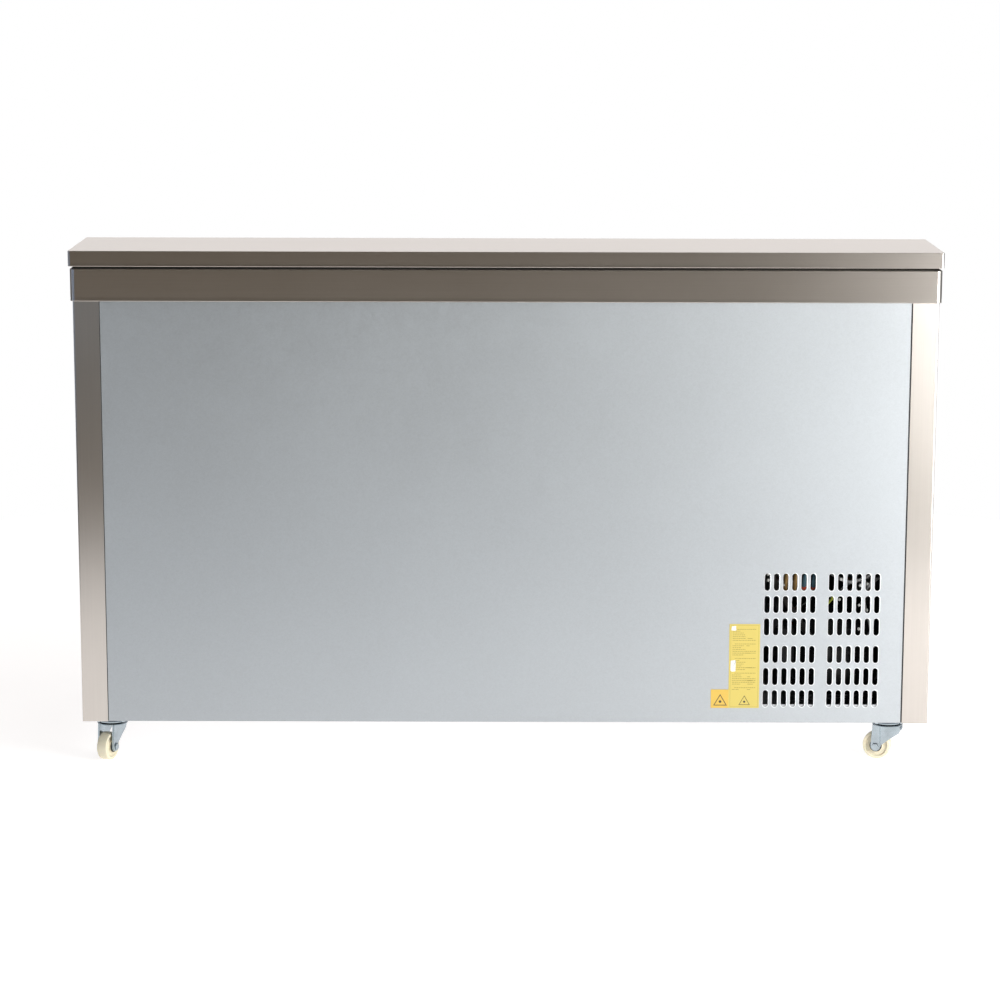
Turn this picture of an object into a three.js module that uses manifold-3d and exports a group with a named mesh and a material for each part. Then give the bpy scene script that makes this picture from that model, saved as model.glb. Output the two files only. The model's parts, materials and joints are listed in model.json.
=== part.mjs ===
// Slope-front chest freezer on four swivel castors, in millimetres.
// +Z is up, the fixed rear deck and the vented back face +Y, the sloping lids and the controls face -Y.
// The origin is on the floor under the middle of the cabinet.
import * as THREE from "three";
import { mergeVertices } from "three/addons/utils/BufferGeometryUtils.js";
import Module from "manifold-3d";

const wasm = await Module();
wasm.setup();

// Overall sizes: the top band is the widest and deepest part.
const HALF_WIDTH = 750;
const HALF_DEPTH = 330;
const HEIGHT = 907;
const BODY_BOTTOM = 76;
const BODY_HALF_WIDTH = 744;
const BODY_HALF_DEPTH = 324;
const SHEET = 1.2;
const CLEAR = 0.3;

// The top: a flat fixed deck at the back, then a slope that carries two lids.
const DECK_FRONT = 90;
const HINGE_Y = 84;
const HINGE_Z = 903;
const SLOPE = Math.tan(THREE.MathUtils.degToRad(15));
const BAND = 27;
const COLLAR_TOP = 31;
const COLLAR_BOTTOM = 87;
const LID_REAR = HINGE_Y - 4.5;
const LID_GAP = 2;

// The insulated walls and the space they close off for the machinery.
const FOAM_TOP = 37;
const TUB_HALF_WIDTH = 686;
const TUB_HALF_DEPTH = 264;
const TUB_FLOOR = 140;
const STEP_X = -380;
const STEP_Z = 420;
const MACHINE_X = -440;
const MACHINE_TOP = 360;
const LINER = 1.2;

// Openings in the breaker frame, one under each lid.
const MOUTH_FRONT = -259;
const MOUTH_REAR = 62;
const MOUTH_OUTER = 681;
const MOUTH_INNER = 22;

// Storage basket rails and baskets.
const RAIL_Z = 690;
const BASKET_LENGTH = 300;
const BASKET_OUTER = 678;

// Vent slots in the rear panel: two blocks of six columns, two groups of three rows.
const SLOT_CENTRE_X = -554;
const SLOT_PITCH = 16;
const SLOT_WIDTH = 8;
const SLOT_HEIGHT = 29.5;
const SLOT_ROWS = [329.5, 289.5, 249.5, 200, 160, 120];

// Castors: the swivel axis, the wheel behind it and how each one happens to point.
const WHEEL_RADIUS = 25;
const WHEEL_SIDES = 24;
const AXLE_Z = WHEEL_RADIUS * Math.cos(Math.PI / WHEEL_SIDES);
const TRAIL = 18;
const CASTORS = [
  { name: "rear_left", x: -680, y: 279, turn: -18 },
  { name: "rear_right", x: 697, y: 279, turn: 68 },
  { name: "front_left", x: -680, y: -279, turn: 205 },
  { name: "front_right", x: 697, y: -279, turn: 250 },
];

const MATERIALS = {
  stainless: { color: 0xa9a6a3, metalness: 0.9, roughness: 0.35 },
  galvanised: { color: 0xb9bcc1, metalness: 0.7, roughness: 0.45 },
  foam: { color: 0xd9c58f, metalness: 0, roughness: 0.9 },
  white_plastic: { color: 0xe9ebea, metalness: 0, roughness: 0.5 },
  grey_plastic: { color: 0x8d9194, metalness: 0, roughness: 0.6 },
  black_plastic: { color: 0x202224, metalness: 0, roughness: 0.55 },
  rubber: { color: 0x2a2a2b, metalness: 0, roughness: 0.8 },
  aluminium: { color: 0xc3c6c8, metalness: 0.9, roughness: 0.4 },
  black_paint: { color: 0x17181a, metalness: 0.3, roughness: 0.45 },
  copper: { color: 0xb4683c, metalness: 0.9, roughness: 0.35 },
  zinc: { color: 0xb3bcc8, metalness: 0.85, roughness: 0.35 },
  nylon: { color: 0xe8dfc4, metalness: 0, roughness: 0.5 },
  label: { color: 0xe6c21f, metalness: 0, roughness: 0.6 },
  lamp: { color: 0x3fae4a, metalness: 0, roughness: 0.3 },
};

const group = new THREE.Group();
group.name = "chest_freezer";

function addPart(name, geometry, material) {
  const mesh = new THREE.Mesh(geometry, new THREE.MeshStandardMaterial(MATERIALS[material]));
  mesh.name = name;
  group.add(mesh);
}

// Height of the top surface at a depth y, and the same height lowered by an offset.
function topAt(y, lower = 0) {
  return HEIGHT - Math.max(0, HINGE_Y - y) * SLOPE - lower;
}

// --- Solids, joins and cuts ---------------------------------------------------------------

function toSolid(geometry) {
  const loose = geometry.index ? geometry.toNonIndexed() : geometry;
  const bare = new THREE.BufferGeometry().setAttribute("position", loose.getAttribute("position"));
  const merged = mergeVertices(bare, 1e-3);
  const corners = merged.index.array;
  const faces = [];
  for (let i = 0; i < corners.length; i += 3) {
    const [a, b, c] = [corners[i], corners[i + 1], corners[i + 2]];
    if (a !== b && b !== c && c !== a) faces.push(a, b, c);
  }
  return new wasm.Manifold(
    new wasm.Mesh({
      numProp: 3,
      vertProperties: merged.attributes.position.array,
      triVerts: new Uint32Array(faces),
    }),
  );
}

function toGeometry(solid) {
  const mesh = solid.getMesh();
  const geometry = new THREE.BufferGeometry();
  geometry.setAttribute("position", new THREE.BufferAttribute(mesh.vertProperties, 3));
  geometry.setIndex(new THREE.BufferAttribute(mesh.triVerts, 1));
  const flat = geometry.toNonIndexed();
  flat.computeVertexNormals();
  return flat;
}

function join(...pieces) {
  return toGeometry(pieces.map(toSolid).reduce((whole, piece) => whole.add(piece)));
}

function cut(piece, ...tools) {
  return toGeometry([piece, ...tools].map(toSolid).reduce((rest, tool) => rest.subtract(tool)));
}

function common(first, second) {
  return toGeometry(toSolid(first).intersect(toSolid(second)));
}

function box(x0, x1, y0, y1, z0, z1) {
  const geometry = new THREE.BoxGeometry(x1 - x0, y1 - y0, z1 - z0);
  return geometry.translate((x0 + x1) / 2, (y0 + y1) / 2, (z0 + z1) / 2);
}

// A flat outline pushed along one axis. Outline points are [y, z], [x, z] or [x, y].
function prism(axis, outline, from, to) {
  const swap = axis === "y";
  const points = outline.map(([a, b]) => (swap ? new THREE.Vector2(b, a) : new THREE.Vector2(a, b)));
  const geometry = new THREE.ExtrudeGeometry(new THREE.Shape(points), {
    depth: to - from,
    bevelEnabled: false,
  });
  geometry.translate(0, 0, from);
  const x = new THREE.Vector3(1, 0, 0);
  const y = new THREE.Vector3(0, 1, 0);
  const z = new THREE.Vector3(0, 0, 1);
  const frame = new THREE.Matrix4();
  if (axis === "x") frame.makeBasis(y, z, x);
  if (axis === "y") frame.makeBasis(z, x, y);
  if (axis === "z") frame.makeBasis(x, y, z);
  return geometry.applyMatrix4(frame);
}

function roundedRect(x0, x1, y0, y1, radius, steps = 3) {
  const points = [];
  const corners = [
    [x1 - radius, y0 + radius, -90],
    [x1 - radius, y1 - radius, 0],
    [x0 + radius, y1 - radius, 90],
    [x0 + radius, y0 + radius, 180],
  ];
  for (const [cx, cy, start] of corners)
    for (let i = 0; i <= steps; i++) {
      const angle = THREE.MathUtils.degToRad(start + (90 * i) / steps);
      points.push([cx + radius * Math.cos(angle), cy + radius * Math.sin(angle)]);
    }
  return points;
}

// A round bar along x, y or z; at gives the two other coordinates in x, y, z order.
function bar(axis, radius, from, to, at, sides = 12) {
  const geometry = new THREE.CylinderGeometry(radius, radius, to - from, sides);
  const middle = (from + to) / 2;
  if (axis === "x") return geometry.rotateZ(Math.PI / 2).translate(middle, at[0], at[1]);
  if (axis === "y") return geometry.translate(at[0], middle, at[1]);
  return geometry.rotateX(Math.PI / 2).translate(at[0], at[1], middle);
}

// A turned shape around Z from [radius, z] points, listed upwards on the outside.
function turned(profile, sides = 20) {
  const points = profile.map(([r, z]) => new THREE.Vector2(r, z));
  return new THREE.LatheGeometry(points, sides).rotateX(Math.PI / 2);
}

// A bent tube with closed ends, rounded through the given points.
function pipe(route, radius, steps = 20, sides = 8) {
  const curve = new THREE.CatmullRomCurve3(
    route.map((p) => new THREE.Vector3(...p)),
    false,
    "centripetal",
  );
  const wall = new THREE.TubeGeometry(curve, steps, radius, sides, false).toNonIndexed();
  const position = Array.from(wall.getAttribute("position").array);
  const frames = curve.computeFrenetFrames(steps, false);
  for (const [end, at] of [[0, 0], [steps, 1]]) {
    const centre = curve.getPointAt(at);
    for (let i = 0; i < sides; i++) {
      const rim = [i, i + 1].map((k) => {
        const angle = (k / sides) * Math.PI * 2;
        return centre
          .clone()
          .addScaledVector(frames.normals[end], -Math.cos(angle) * radius)
          .addScaledVector(frames.binormals[end], Math.sin(angle) * radius);
      });
      const order = end ? [centre, rim[1], rim[0]] : [centre, rim[0], rim[1]];
      for (const point of order) position.push(point.x, point.y, point.z);
    }
  }
  const closed = new THREE.BufferGeometry();
  closed.setAttribute("position", new THREE.Float32BufferAttribute(position, 3));
  return closed;
}

// Everything between two depths below the top surface, across the whole plan.
function underTop(upper, lower) {
  const outline = [
    [-400, topAt(-400, lower)],
    [HINGE_Y, topAt(HINGE_Y, lower)],
    [400, topAt(400, lower)],
    [400, topAt(400, upper)],
    [HINGE_Y, topAt(HINGE_Y, upper)],
    [-400, topAt(-400, upper)],
  ];
  return prism("x", outline, -800, 800);
}

// A plan outline cut to a layer below the top surface.
function layer(outline, upper, lower) {
  return common(prism("z", outline, 500, 1000), underTop(upper, lower));
}

function rect(x0, x1, y0, y1) {
  return [[x0, y0], [x1, y0], [x1, y1], [x0, y1]];
}

function frameLayer(outer, inner, upper, lower) {
  return cut(layer(outer, upper, lower), layer(inner, upper - 5, lower + 5));
}

// --- Outer cabinet ------------------------------------------------------------------------

function makeCollar() {
  const outerX = HALF_WIDTH - 2;
  const outerY = HALF_DEPTH - 2;
  const wall = 1.5;
  const outside = roundedRect(-outerX, outerX, -outerY, outerY, 6);
  const inside = roundedRect(-outerX + wall, outerX - wall, -outerY + wall, outerY - wall, 4.5);
  const band = frameLayer(outside, inside, COLLAR_TOP, COLLAR_BOTTOM);
  const flange = frameLayer(outside, rect(-718, 718, -302, 302), COLLAR_TOP, COLLAR_TOP + 1.5);
  addPart("collar", join(band, flange), "stainless");
}

function makeDeck() {
  const wall = 1.5;
  const bottom = HEIGHT - BAND;
  const outside = roundedRect(-HALF_WIDTH, HALF_WIDTH, DECK_FRONT, HALF_DEPTH, 4);
  const inside = rect(-HALF_WIDTH + wall, HALF_WIDTH - wall, DECK_FRONT + wall, HALF_DEPTH - wall);
  const pan = cut(prism("z", outside, bottom, HEIGHT), prism("z", inside, bottom - 5, HEIGHT - wall));
  addPart("rear_deck", pan, "stainless");
  const plug = box(-716, 716, 106, 300, HEIGHT - FOAM_TOP + CLEAR, HEIGHT - wall - CLEAR);
  addPart("deck_insulation", plug, "foam");
}

// Side sheet with a 45 mm return on the back and a 25 mm return on the front.
function makeSidePanel(name, side) {
  const edgeX = BODY_HALF_WIDTH;
  const edgeY = BODY_HALF_DEPTH;
  const outer = roundedRect(-edgeX, edgeX, -edgeY, edgeY, 3.2);
  const inner = roundedRect(-edgeX + SHEET, edgeX - SHEET, -edgeY + SHEET, edgeY - SHEET, 2);
  const shell = cut(prism("z", outer, BODY_BOTTOM, 900), prism("z", inner, BODY_BOTTOM - 5, 905));
  const span = (edge) => [Math.min(side * edge, side * 760), Math.max(side * edge, side * 760)];
  const rearEnd = box(...span(699), 0, 340, 0, 1000);
  const frontEnd = box(...span(719), -340, 0, 0, 1000);
  const panel = common(shell, join(rearEnd, frontEnd));
  addPart(name, common(panel, underTop(COLLAR_BOTTOM - 17, 900)), "stainless");
}

function slotOutline(x, z) {
  const r = SLOT_WIDTH / 2;
  const straight = SLOT_HEIGHT / 2 - r;
  const points = [];
  for (const [centre, start] of [[z + straight, 0], [z - straight, 180]])
    for (let i = 0; i <= 3; i++) {
      const angle = THREE.MathUtils.degToRad(start + 60 * i);
      points.push([x + r * Math.cos(angle), centre + r * Math.sin(angle)]);
    }
  return points;
}

function makeRearPanel() {
  const outer = BODY_HALF_DEPTH - SHEET - CLEAR;
  const halfWidth = BODY_HALF_WIDTH - SHEET - 3;
  const shape = new THREE.Shape(
    rect(-halfWidth, halfWidth, BODY_BOTTOM + 1, HEIGHT - COLLAR_BOTTOM + 12).map(
      ([x, z]) => new THREE.Vector2(x, z),
    ),
  );
  for (const z of SLOT_ROWS)
    for (let column = -6; column <= 6; column++)
      if (column !== 0) {
        const hole = slotOutline(SLOT_CENTRE_X + column * SLOT_PITCH, z);
        shape.holes.push(new THREE.Path(hole.map(([x, y]) => new THREE.Vector2(x, y))));
      }
  const sheet = new THREE.ExtrudeGeometry(shape, { depth: SHEET, bevelEnabled: false });
  sheet.rotateX(Math.PI / 2).translate(0, outer, 0);
  addPart("rear_panel", join(sheet), "galvanised");
}

const GRILLE = { x0: -715, x1: -475, z0: 100, z1: 270 };
const CONTROL = { x0: -715, x1: -475, z0: 286, z1: 350 };

function makeFrontPanel() {
  const outer = -BODY_HALF_DEPTH + SHEET + CLEAR;
  const halfWidth = BODY_HALF_WIDTH - SHEET - 3;
  const top = topAt(-BODY_HALF_DEPTH, COLLAR_BOTTOM - 12);
  const sheet = box(-halfWidth, halfWidth, outer, outer + SHEET, BODY_BOTTOM + 1, top);
  const windows = [GRILLE, CONTROL].map((w) => box(w.x0, w.x1, outer - 5, outer + 5, w.z0, w.z1));
  addPart("front_panel", cut(sheet, ...windows), "stainless");
}

function makeBasePan() {
  const floor = box(-741, 741, -320.5, 320.5, BODY_BOTTOM, BODY_BOTTOM + 2);
  const lipTop = 109;
  const rear = box(-741, 741, 319, 320.5, BODY_BOTTOM, lipTop);
  const front = box(-741, 741, -320.5, -319, BODY_BOTTOM, 92);
  const drainHole = bar("z", 15, 60, 100, [DRAIN.x, DRAIN.y], 16);
  addPart("base_pan", cut(join(floor, rear, front), drainHole), "galvanised");
}

// --- Insulated body and its lining --------------------------------------------------------

const DRAIN = { x: 600, y: -200 };

// The cold space seen from the front, shrunk by an amount on every side.
function cavity(shrink) {
  const outline = [
    [-TUB_HALF_WIDTH + shrink, STEP_Z + shrink],
    [STEP_X + shrink, STEP_Z + shrink],
    [STEP_X + shrink, TUB_FLOOR + shrink],
    [TUB_HALF_WIDTH - shrink, TUB_FLOOR + shrink],
    [TUB_HALF_WIDTH - shrink, 1000],
    [-TUB_HALF_WIDTH + shrink, 1000],
  ];
  return prism("y", outline, -TUB_HALF_DEPTH + shrink, TUB_HALF_DEPTH - shrink);
}

function makeInsulation() {
  const halfWidth = BODY_HALF_WIDTH - SHEET - 0.5;
  const block = common(
    box(-halfWidth, halfWidth, -317.5, 317.5, BODY_BOTTOM + 2.3, 1000),
    underTop(FOAM_TOP, 900),
  );
  const machineSpace = box(-800, MACHINE_X, -400, 400, 0, MACHINE_TOP);
  const drainHole = bar("z", 15, 60, 200, [DRAIN.x, DRAIN.y], 16);
  addPart("insulation", cut(block, cavity(0), machineSpace, drainHole), "foam");
}

function makeLiner() {
  const outside = common(cavity(CLEAR), underTop(FOAM_TOP, 900));
  const ledge = box(-684, 684, -263.5, -250, RAIL_Z - 14, RAIL_Z);
  const drainHole = bar("z", 15, 60, 200, [DRAIN.x, DRAIN.y], 16);
  const tub = cut(outside, cavity(CLEAR + LINER), drainHole);
  addPart("tub_liner", join(tub, ledge), "white_plastic");
}

function mouth(side, grow) {
  const x0 = side > 0 ? MOUTH_INNER - grow : -MOUTH_OUTER - grow;
  const x1 = side > 0 ? MOUTH_OUTER + grow : -MOUTH_INNER + grow;
  return rect(x0, x1, MOUTH_FRONT - grow, MOUTH_REAR + grow);
}

function makeBreakerFrame() {
  let plate = layer(rect(-717, 717, -300, 104), COLLAR_TOP + 0.5, COLLAR_TOP + 5.5);
  for (const side of [-1, 1]) {
    plate = join(plate, layer(mouth(side, 3), COLLAR_TOP + 0.5, 60));
    plate = cut(plate, layer(mouth(side, 0), 0, 100));
  }
  addPart("breaker_frame", plate, "grey_plastic");
}

function makeDrain() {
  const { x, y } = DRAIN;
  const floor = TUB_FLOOR + CLEAR + LINER;
  const spout = bar("z", 14, 64, floor + 1, [x, y], 20);
  const flange = bar("z", 22, floor + CLEAR, floor + 2, [x, y], 20);
  const bore = bar("z", 10, 50, 200, [x, y], 20);
  addPart("drain_outlet", cut(join(spout, flange), bore), "grey_plastic");
  const stem = bar("z", 9.6, floor - 18, floor + 4, [x, y], 20);
  const head = bar("z", 17, floor + 2.3, floor + 6, [x, y], 20);
  const grip = box(x - 11, x + 11, y - 2, y + 2, floor + 5, floor + 18);
  addPart("drain_plug", join(stem, head, grip), "rubber");
}

// --- Lids ---------------------------------------------------------------------------------

const KNUCKLES = 9;
const KNUCKLE_RADIUS = 3.5;
const PIN_RADIUS = 1.6;

function makeHinge(name, x0, x1) {
  const pitch = (x1 - x0) / KNUCKLES;
  const leafBottom = HINGE_Z - 20;
  const leafTop = HINGE_Z - 4.5;
  const deckPieces = [
    box(x0, x1, HINGE_Y + 4.2, HINGE_Y + 5.7, leafBottom, leafTop),
    bar("x", PIN_RADIUS, x0, x1, [HINGE_Y, HINGE_Z], 10),
  ];
  const lidPieces = [box(x0, x1, HINGE_Y - 4.2, HINGE_Y - 3, leafBottom, leafTop)];
  for (let i = 0; i < KNUCKLES; i++) {
    const from = x0 + i * pitch + 0.3;
    const to = x0 + (i + 1) * pitch - 0.3;
    const knuckle = bar("x", KNUCKLE_RADIUS, from, to, [HINGE_Y, HINGE_Z], 12);
    if (i % 2 === 0) deckPieces.push(knuckle, box(from, to, HINGE_Y + 2, HINGE_Y + 5.7, leafTop - 1, HINGE_Z + 1));
    else lidPieces.push(knuckle, box(from, to, HINGE_Y - 4.2, HINGE_Y - 2.4, leafTop - 1, HINGE_Z + 1));
  }
  addPart("deck_hinge_" + name, join(...deckPieces), "stainless");
  const bore = bar("x", PIN_RADIUS + 0.5, x0 - 5, x1 + 5, [HINGE_Y, HINGE_Z], 10);
  addPart("lid_hinge_" + name, cut(join(...lidPieces), bore), "stainless");
}

function makeLid(name, side) {
  const wall = 1.5;
  const inner = side > 0 ? LID_GAP : -HALF_WIDTH;
  const outer = side > 0 ? HALF_WIDTH : -LID_GAP;
  const plan = (inset) => rect(inner + inset, outer - inset, -HALF_DEPTH + inset, LID_REAR - inset);
  const edge = roundedRect(inner, outer, -HALF_DEPTH, LID_REAR, 3);
  const shell = cut(layer(edge, 0, BAND), layer(plan(wall), wall, BAND + 9));
  addPart("lid_shell_" + name, shell, "stainless");

  const core = layer(plan(wall + CLEAR), wall + CLEAR, 24);
  const plugOuter = side > 0 ? [MOUTH_INNER + 4, MOUTH_OUTER - 4] : [-MOUTH_OUTER + 4, -MOUTH_INNER - 4];
  const plug = layer(rect(...plugOuter, -248, 58), 20, 38);
  addPart("lid_liner_" + name, join(core, plug), "white_plastic");

  const sealX = side > 0 ? [7, 715] : [-715, -7];
  const sealOuter = rect(...sealX, -298, 76);
  const sealInner = rect(sealX[0] + 12, sealX[1] - 12, -286, 64);
  addPart("lid_gasket_" + name, frameLayer(sealOuter, sealInner, 24.2, 31.2), "rubber");

  const middle = (inner + outer) / 2;
  const rise = topAt(-306);
  const grip = pipe(
    [
      [middle - 110, -306, rise + 2.4],
      [middle - 108, -306, rise + 22],
      [middle - 92, -306, rise + 33],
      [middle, -306, rise + 34],
      [middle + 92, -306, rise + 33],
      [middle + 108, -306, rise + 22],
      [middle + 110, -306, rise + 2.4],
    ],
    6,
    20,
    8,
  );
  const feet = [-110, 110].map((dx) => {
    const foot = rect(middle + dx - 14, middle + dx + 14, -318, -294);
    return layer(foot, -4, -CLEAR);
  });
  addPart("lid_handle_" + name, join(grip, ...feet), "stainless");
}

// --- Cold side: cover, coil, fan and baskets ----------------------------------------------

const COVER_Y = 100;
const COVER_FLOOR = 470;
const COLD_FAN = { x: 420, z: 582, radius: 74 };

function makeEvaporatorCover() {
  const wall = 1.5;
  const upright = box(-684, 684, COVER_Y, COVER_Y + wall, COVER_FLOOR, HEIGHT - FOAM_TOP);
  const floor = box(-684, 684, COVER_Y, 262, COVER_FLOOR, COVER_FLOOR + wall);
  const ledge = box(-684, 684, COVER_Y - 12, COVER_Y + 1, RAIL_Z - 14, RAIL_Z);
  const holes = [bar("y", COLD_FAN.radius + 4, 50, 150, [COLD_FAN.x, COLD_FAN.z], 24)];
  for (let i = 0; i < 9; i++) {
    const x = -600 + i * 95;
    holes.push(box(x - 30, x + 30, 50, 150, 735, 747));
    holes.push(box(x - 30, x + 30, 50, 150, 765, 777));
  }
  const plenum = cut(join(upright, floor, ledge), ...holes);
  addPart("evaporator_cover", plenum, "aluminium");
}

// Return bends that stick out past an end plate, one for each pair of tubes.
function returnBend(x, out, y0, y1, z) {
  const reach = x + out;
  const route = [
    [x - out * 0.4, y0, z],
    [x + out * 0.4, y0, z],
    [reach, (y0 + y1) / 2, z],
    [x + out * 0.4, y1, z],
    [x - out * 0.4, y1, z],
  ];
  return pipe(route, 4.5, 9, 6);
}

function makeEvaporator() {
  const fins = box(-540, 240, 152, 228, 562, 760);
  const ends = [-543, 240].map((x) => box(x, x + 3, 146, 262, 556, 766));
  const bends = [];
  for (const z of [600, 661, 722]) {
    bends.push(returnBend(-543, -22, 170, 210, z));
    bends.push(returnBend(243, 22, 170, 210, z));
  }
  addPart("evaporator_coil", join(fins, ...ends, ...bends), "aluminium");
  const tray = box(-575, 275, 142, 250, 522, 545);
  const hollow = box(-573, 273, 144, 248, 524, 560);
  const feet = [-400, 100].map((x) => box(x, x + 40, 170, 230, COVER_FLOOR + 1.8, 523));
  addPart("drip_tray", join(cut(tray, hollow), ...feet), "aluminium");
}

// A fan on a Y axis: a hub with tilted blades, bored for its shaft.
function fanWheel(x, z, y0, y1, radius, hub, blades, tilt) {
  const middle = (y0 + y1) / 2;
  const pieces = [bar("y", hub, y0, y1, [x, z], 20)];
  for (let i = 0; i < blades; i++) {
    const outline = [];
    const halfRoot = 0.34;
    const halfTip = 0.42;
    outline.push([(hub - 4) * Math.cos(halfRoot), -(hub - 4) * Math.sin(halfRoot)]);
    for (const a of [-halfTip, -halfTip / 2, 0, halfTip / 2, halfTip])
      outline.push([radius * Math.cos(a), radius * Math.sin(a)]);
    outline.push([(hub - 4) * Math.cos(halfRoot), (hub - 4) * Math.sin(halfRoot)]);
    const blade = prism("z", outline, -1.2, 1.2);
    blade.rotateX(THREE.MathUtils.degToRad(tilt));
    blade.rotateZ((2 * Math.PI * i) / blades);
    blade.rotateX(Math.PI / 2).translate(x, middle, z);
    pieces.push(blade);
  }
  return cut(join(...pieces), bar("y", 4.4, y0 - 20, y1 + 20, [x, z], 12));
}

function makeColdFan() {
  const { x, z, radius } = COLD_FAN;
  addPart("evaporator_fan", fanWheel(x, z, 116, 140, radius, 18, 5, 16), "black_plastic");
  const can = bar("y", 26, 146, 196, [x, z], 20);
  const shaft = bar("y", 4, 128, 150, [x, z], 12);
  const arm = box(x - 70, x + 70, 190, 194, z - 10, z + 10);
  const stays = [-70, 62].map((dx) => box(x + dx, x + dx + 8, 190, 262, z - 10, z + 10));
  addPart("evaporator_motor", join(can, shaft, arm, ...stays), "black_paint");
}

function makeBasket(name, side) {
  const x0 = side < 0 ? -BASKET_OUTER : BASKET_OUTER - BASKET_LENGTH;
  const x1 = x0 + BASKET_LENGTH;
  const wall = 3;
  const [yFront, yRear] = [-244, 82];
  const [zFloor, zRim] = [545, RAIL_Z + CLEAR + 2];
  const outside = box(x0 + 8, x1 - 8, yFront, yRear, zFloor, zRim);
  const inside = box(x0 + 8 + wall, x1 - 8 - wall, yFront + wall, yRear - wall, zFloor + wall, zRim + 5);
  const rim = box(x0, x1, yFront - 14, yRear + 14, RAIL_Z + CLEAR, zRim);
  const rimHole = box(x0 + 9, x1 - 9, yFront + 1, yRear - 1, zFloor + 5, zRim + 5);
  const body = join(cut(outside, inside), cut(rim, rimHole));
  addPart("basket_" + name, body, "white_plastic");
}

// --- Machine compartment ------------------------------------------------------------------

const HOT_FAN = { x: -595, z: 180, radius: 80 };
const CONDENSER_TOP = 268;

function makeCompressor() {
  const [x, y] = [-600, 150];
  const can = turned(
    [[0, 100], [62, 100], [74, 112], [78, 140], [78, 205], [74, 235], [58, 258], [30, 268], [0, 270]],
    24,
  ).translate(x, y, 0);
  const feet = [box(x - 90, x + 90, y - 70, y - 44, 92, 96), box(x - 90, x + 90, y + 44, y + 70, 92, 96)];
  const skirt = box(x - 60, x + 60, y - 70, y + 70, 92, 104);
  const pads = [];
  for (const dx of [-78, 78])
    for (const dy of [-57, 57]) pads.push(bar("z", 11, BODY_BOTTOM + 2.3, 93, [x + dx, y + dy], 12));
  addPart("compressor", join(can, skirt, ...feet, ...pads), "black_paint");
  const shell = prism("z", roundedRect(x + 79, x + 112, y - 32, y + 32, 5), 140, 215);
  addPart("terminal_box", shell, "grey_plastic");
}

function makeCondenser() {
  const fins = box(-705, -485, -300, -252, 92, CONDENSER_TOP);
  const ends = [-708, -485].map((x) => box(x, x + 3, -304, -248, BODY_BOTTOM + 2.3, CONDENSER_TOP + 4));
  const bends = [];
  for (const z of [120, 180, 240]) {
    bends.push(returnBend(-708, -18, -288, -264, z));
    bends.push(returnBend(-482, 18, -288, -264, z));
  }
  addPart("condenser", join(fins, ...ends, ...bends), "aluminium");

  const { x, z, radius } = HOT_FAN;
  const plate = box(-705, -485, -240, -238, BODY_BOTTOM + 2.3, CONDENSER_TOP + 4);
  const ring = bar("y", radius + 8, -240, -214, [x, z], 28);
  const hole = bar("y", radius + 5, -260, -200, [x, z], 28);
  addPart("fan_shroud", cut(join(plate, ring), hole), "galvanised");
  addPart("condenser_fan", fanWheel(x, z, -236, -218, radius, 20, 5, 12), "black_plastic");

  const can = bar("y", 32, -206, -140, [x, z], 20);
  const shaft = bar("y", 4, -228, -200, [x, z], 12);
  const arms = [box(x - 88, x + 88, -206, -202, z - 6, z + 6)];
  for (const dx of [-88, 78]) arms.push(box(x + dx, x + dx + 10, -213.7, -202, z - 6, z + 6));
  addPart("condenser_motor", join(can, shaft, ...arms), "black_paint");
}

function makePipes() {
  const drier = turned([[0, -52], [4, -50], [5, -40], [14, -32], [14, 32], [5, 40], [4, 50], [0, 52]], 16);
  drier.rotateX(Math.PI / 2).translate(-475, 20, 300);
  addPart("filter_drier", join(drier), "copper");
  const discharge = pipe(
    [[-600, 70, 200], [-600, 40, 215], [-640, 0, 250], [-700, -60, 290], [-720, -150, 296], [-722, -222, 282], [-722, -240, 264]],
    4,
    36,
    8,
  );
  addPart("discharge_pipe", discharge, "copper");
  const suction = pipe(
    [[-560, 232, 190], [-552, 262, 205], [-520, 285, 250], [-480, 290, 310], [-470, 290, 345], [-470, 290, 358.5]],
    6,
    30,
    8,
  );
  addPart("suction_pipe", suction, "copper");
}

// --- Front grille and controls ------------------------------------------------------------

function makeGrille() {
  const { x0, x1, z0, z1 } = GRILLE;
  const back = box(x0 - 10, x1 + 10, -320.5, -318.5, z0 - 8, z1 + 8);
  const face = box(x0 + 1, x1 - 1, -323.5, -318.5, z0 + 1, z1 - 1);
  const opening = box(x0 + 12, x1 - 12, -340, -300, z0 + 12, z1 - 12);
  const slats = [];
  for (let i = 0; i < 9; i++) {
    const z = z0 + 20 + i * 16.2;
    slats.push(prism("x", [[-323, z - 5], [-321.4, z - 5], [-313, z + 5], [-314.6, z + 5]], x0 + 5, x1 - 5));
  }
  const rim = box(x0 + 4, x1 - 4, -320, -313, z0 + 4, z1 - 4);
  addPart("front_grille", join(cut(join(back, face, rim), opening), ...slats), "grey_plastic");
}

const KNOB = { x: -650, z: 318 };
const ROCKER = { x: -575, z: 318, y: -317 };
const LAMP = { x: -520, z: 318 };

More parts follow.
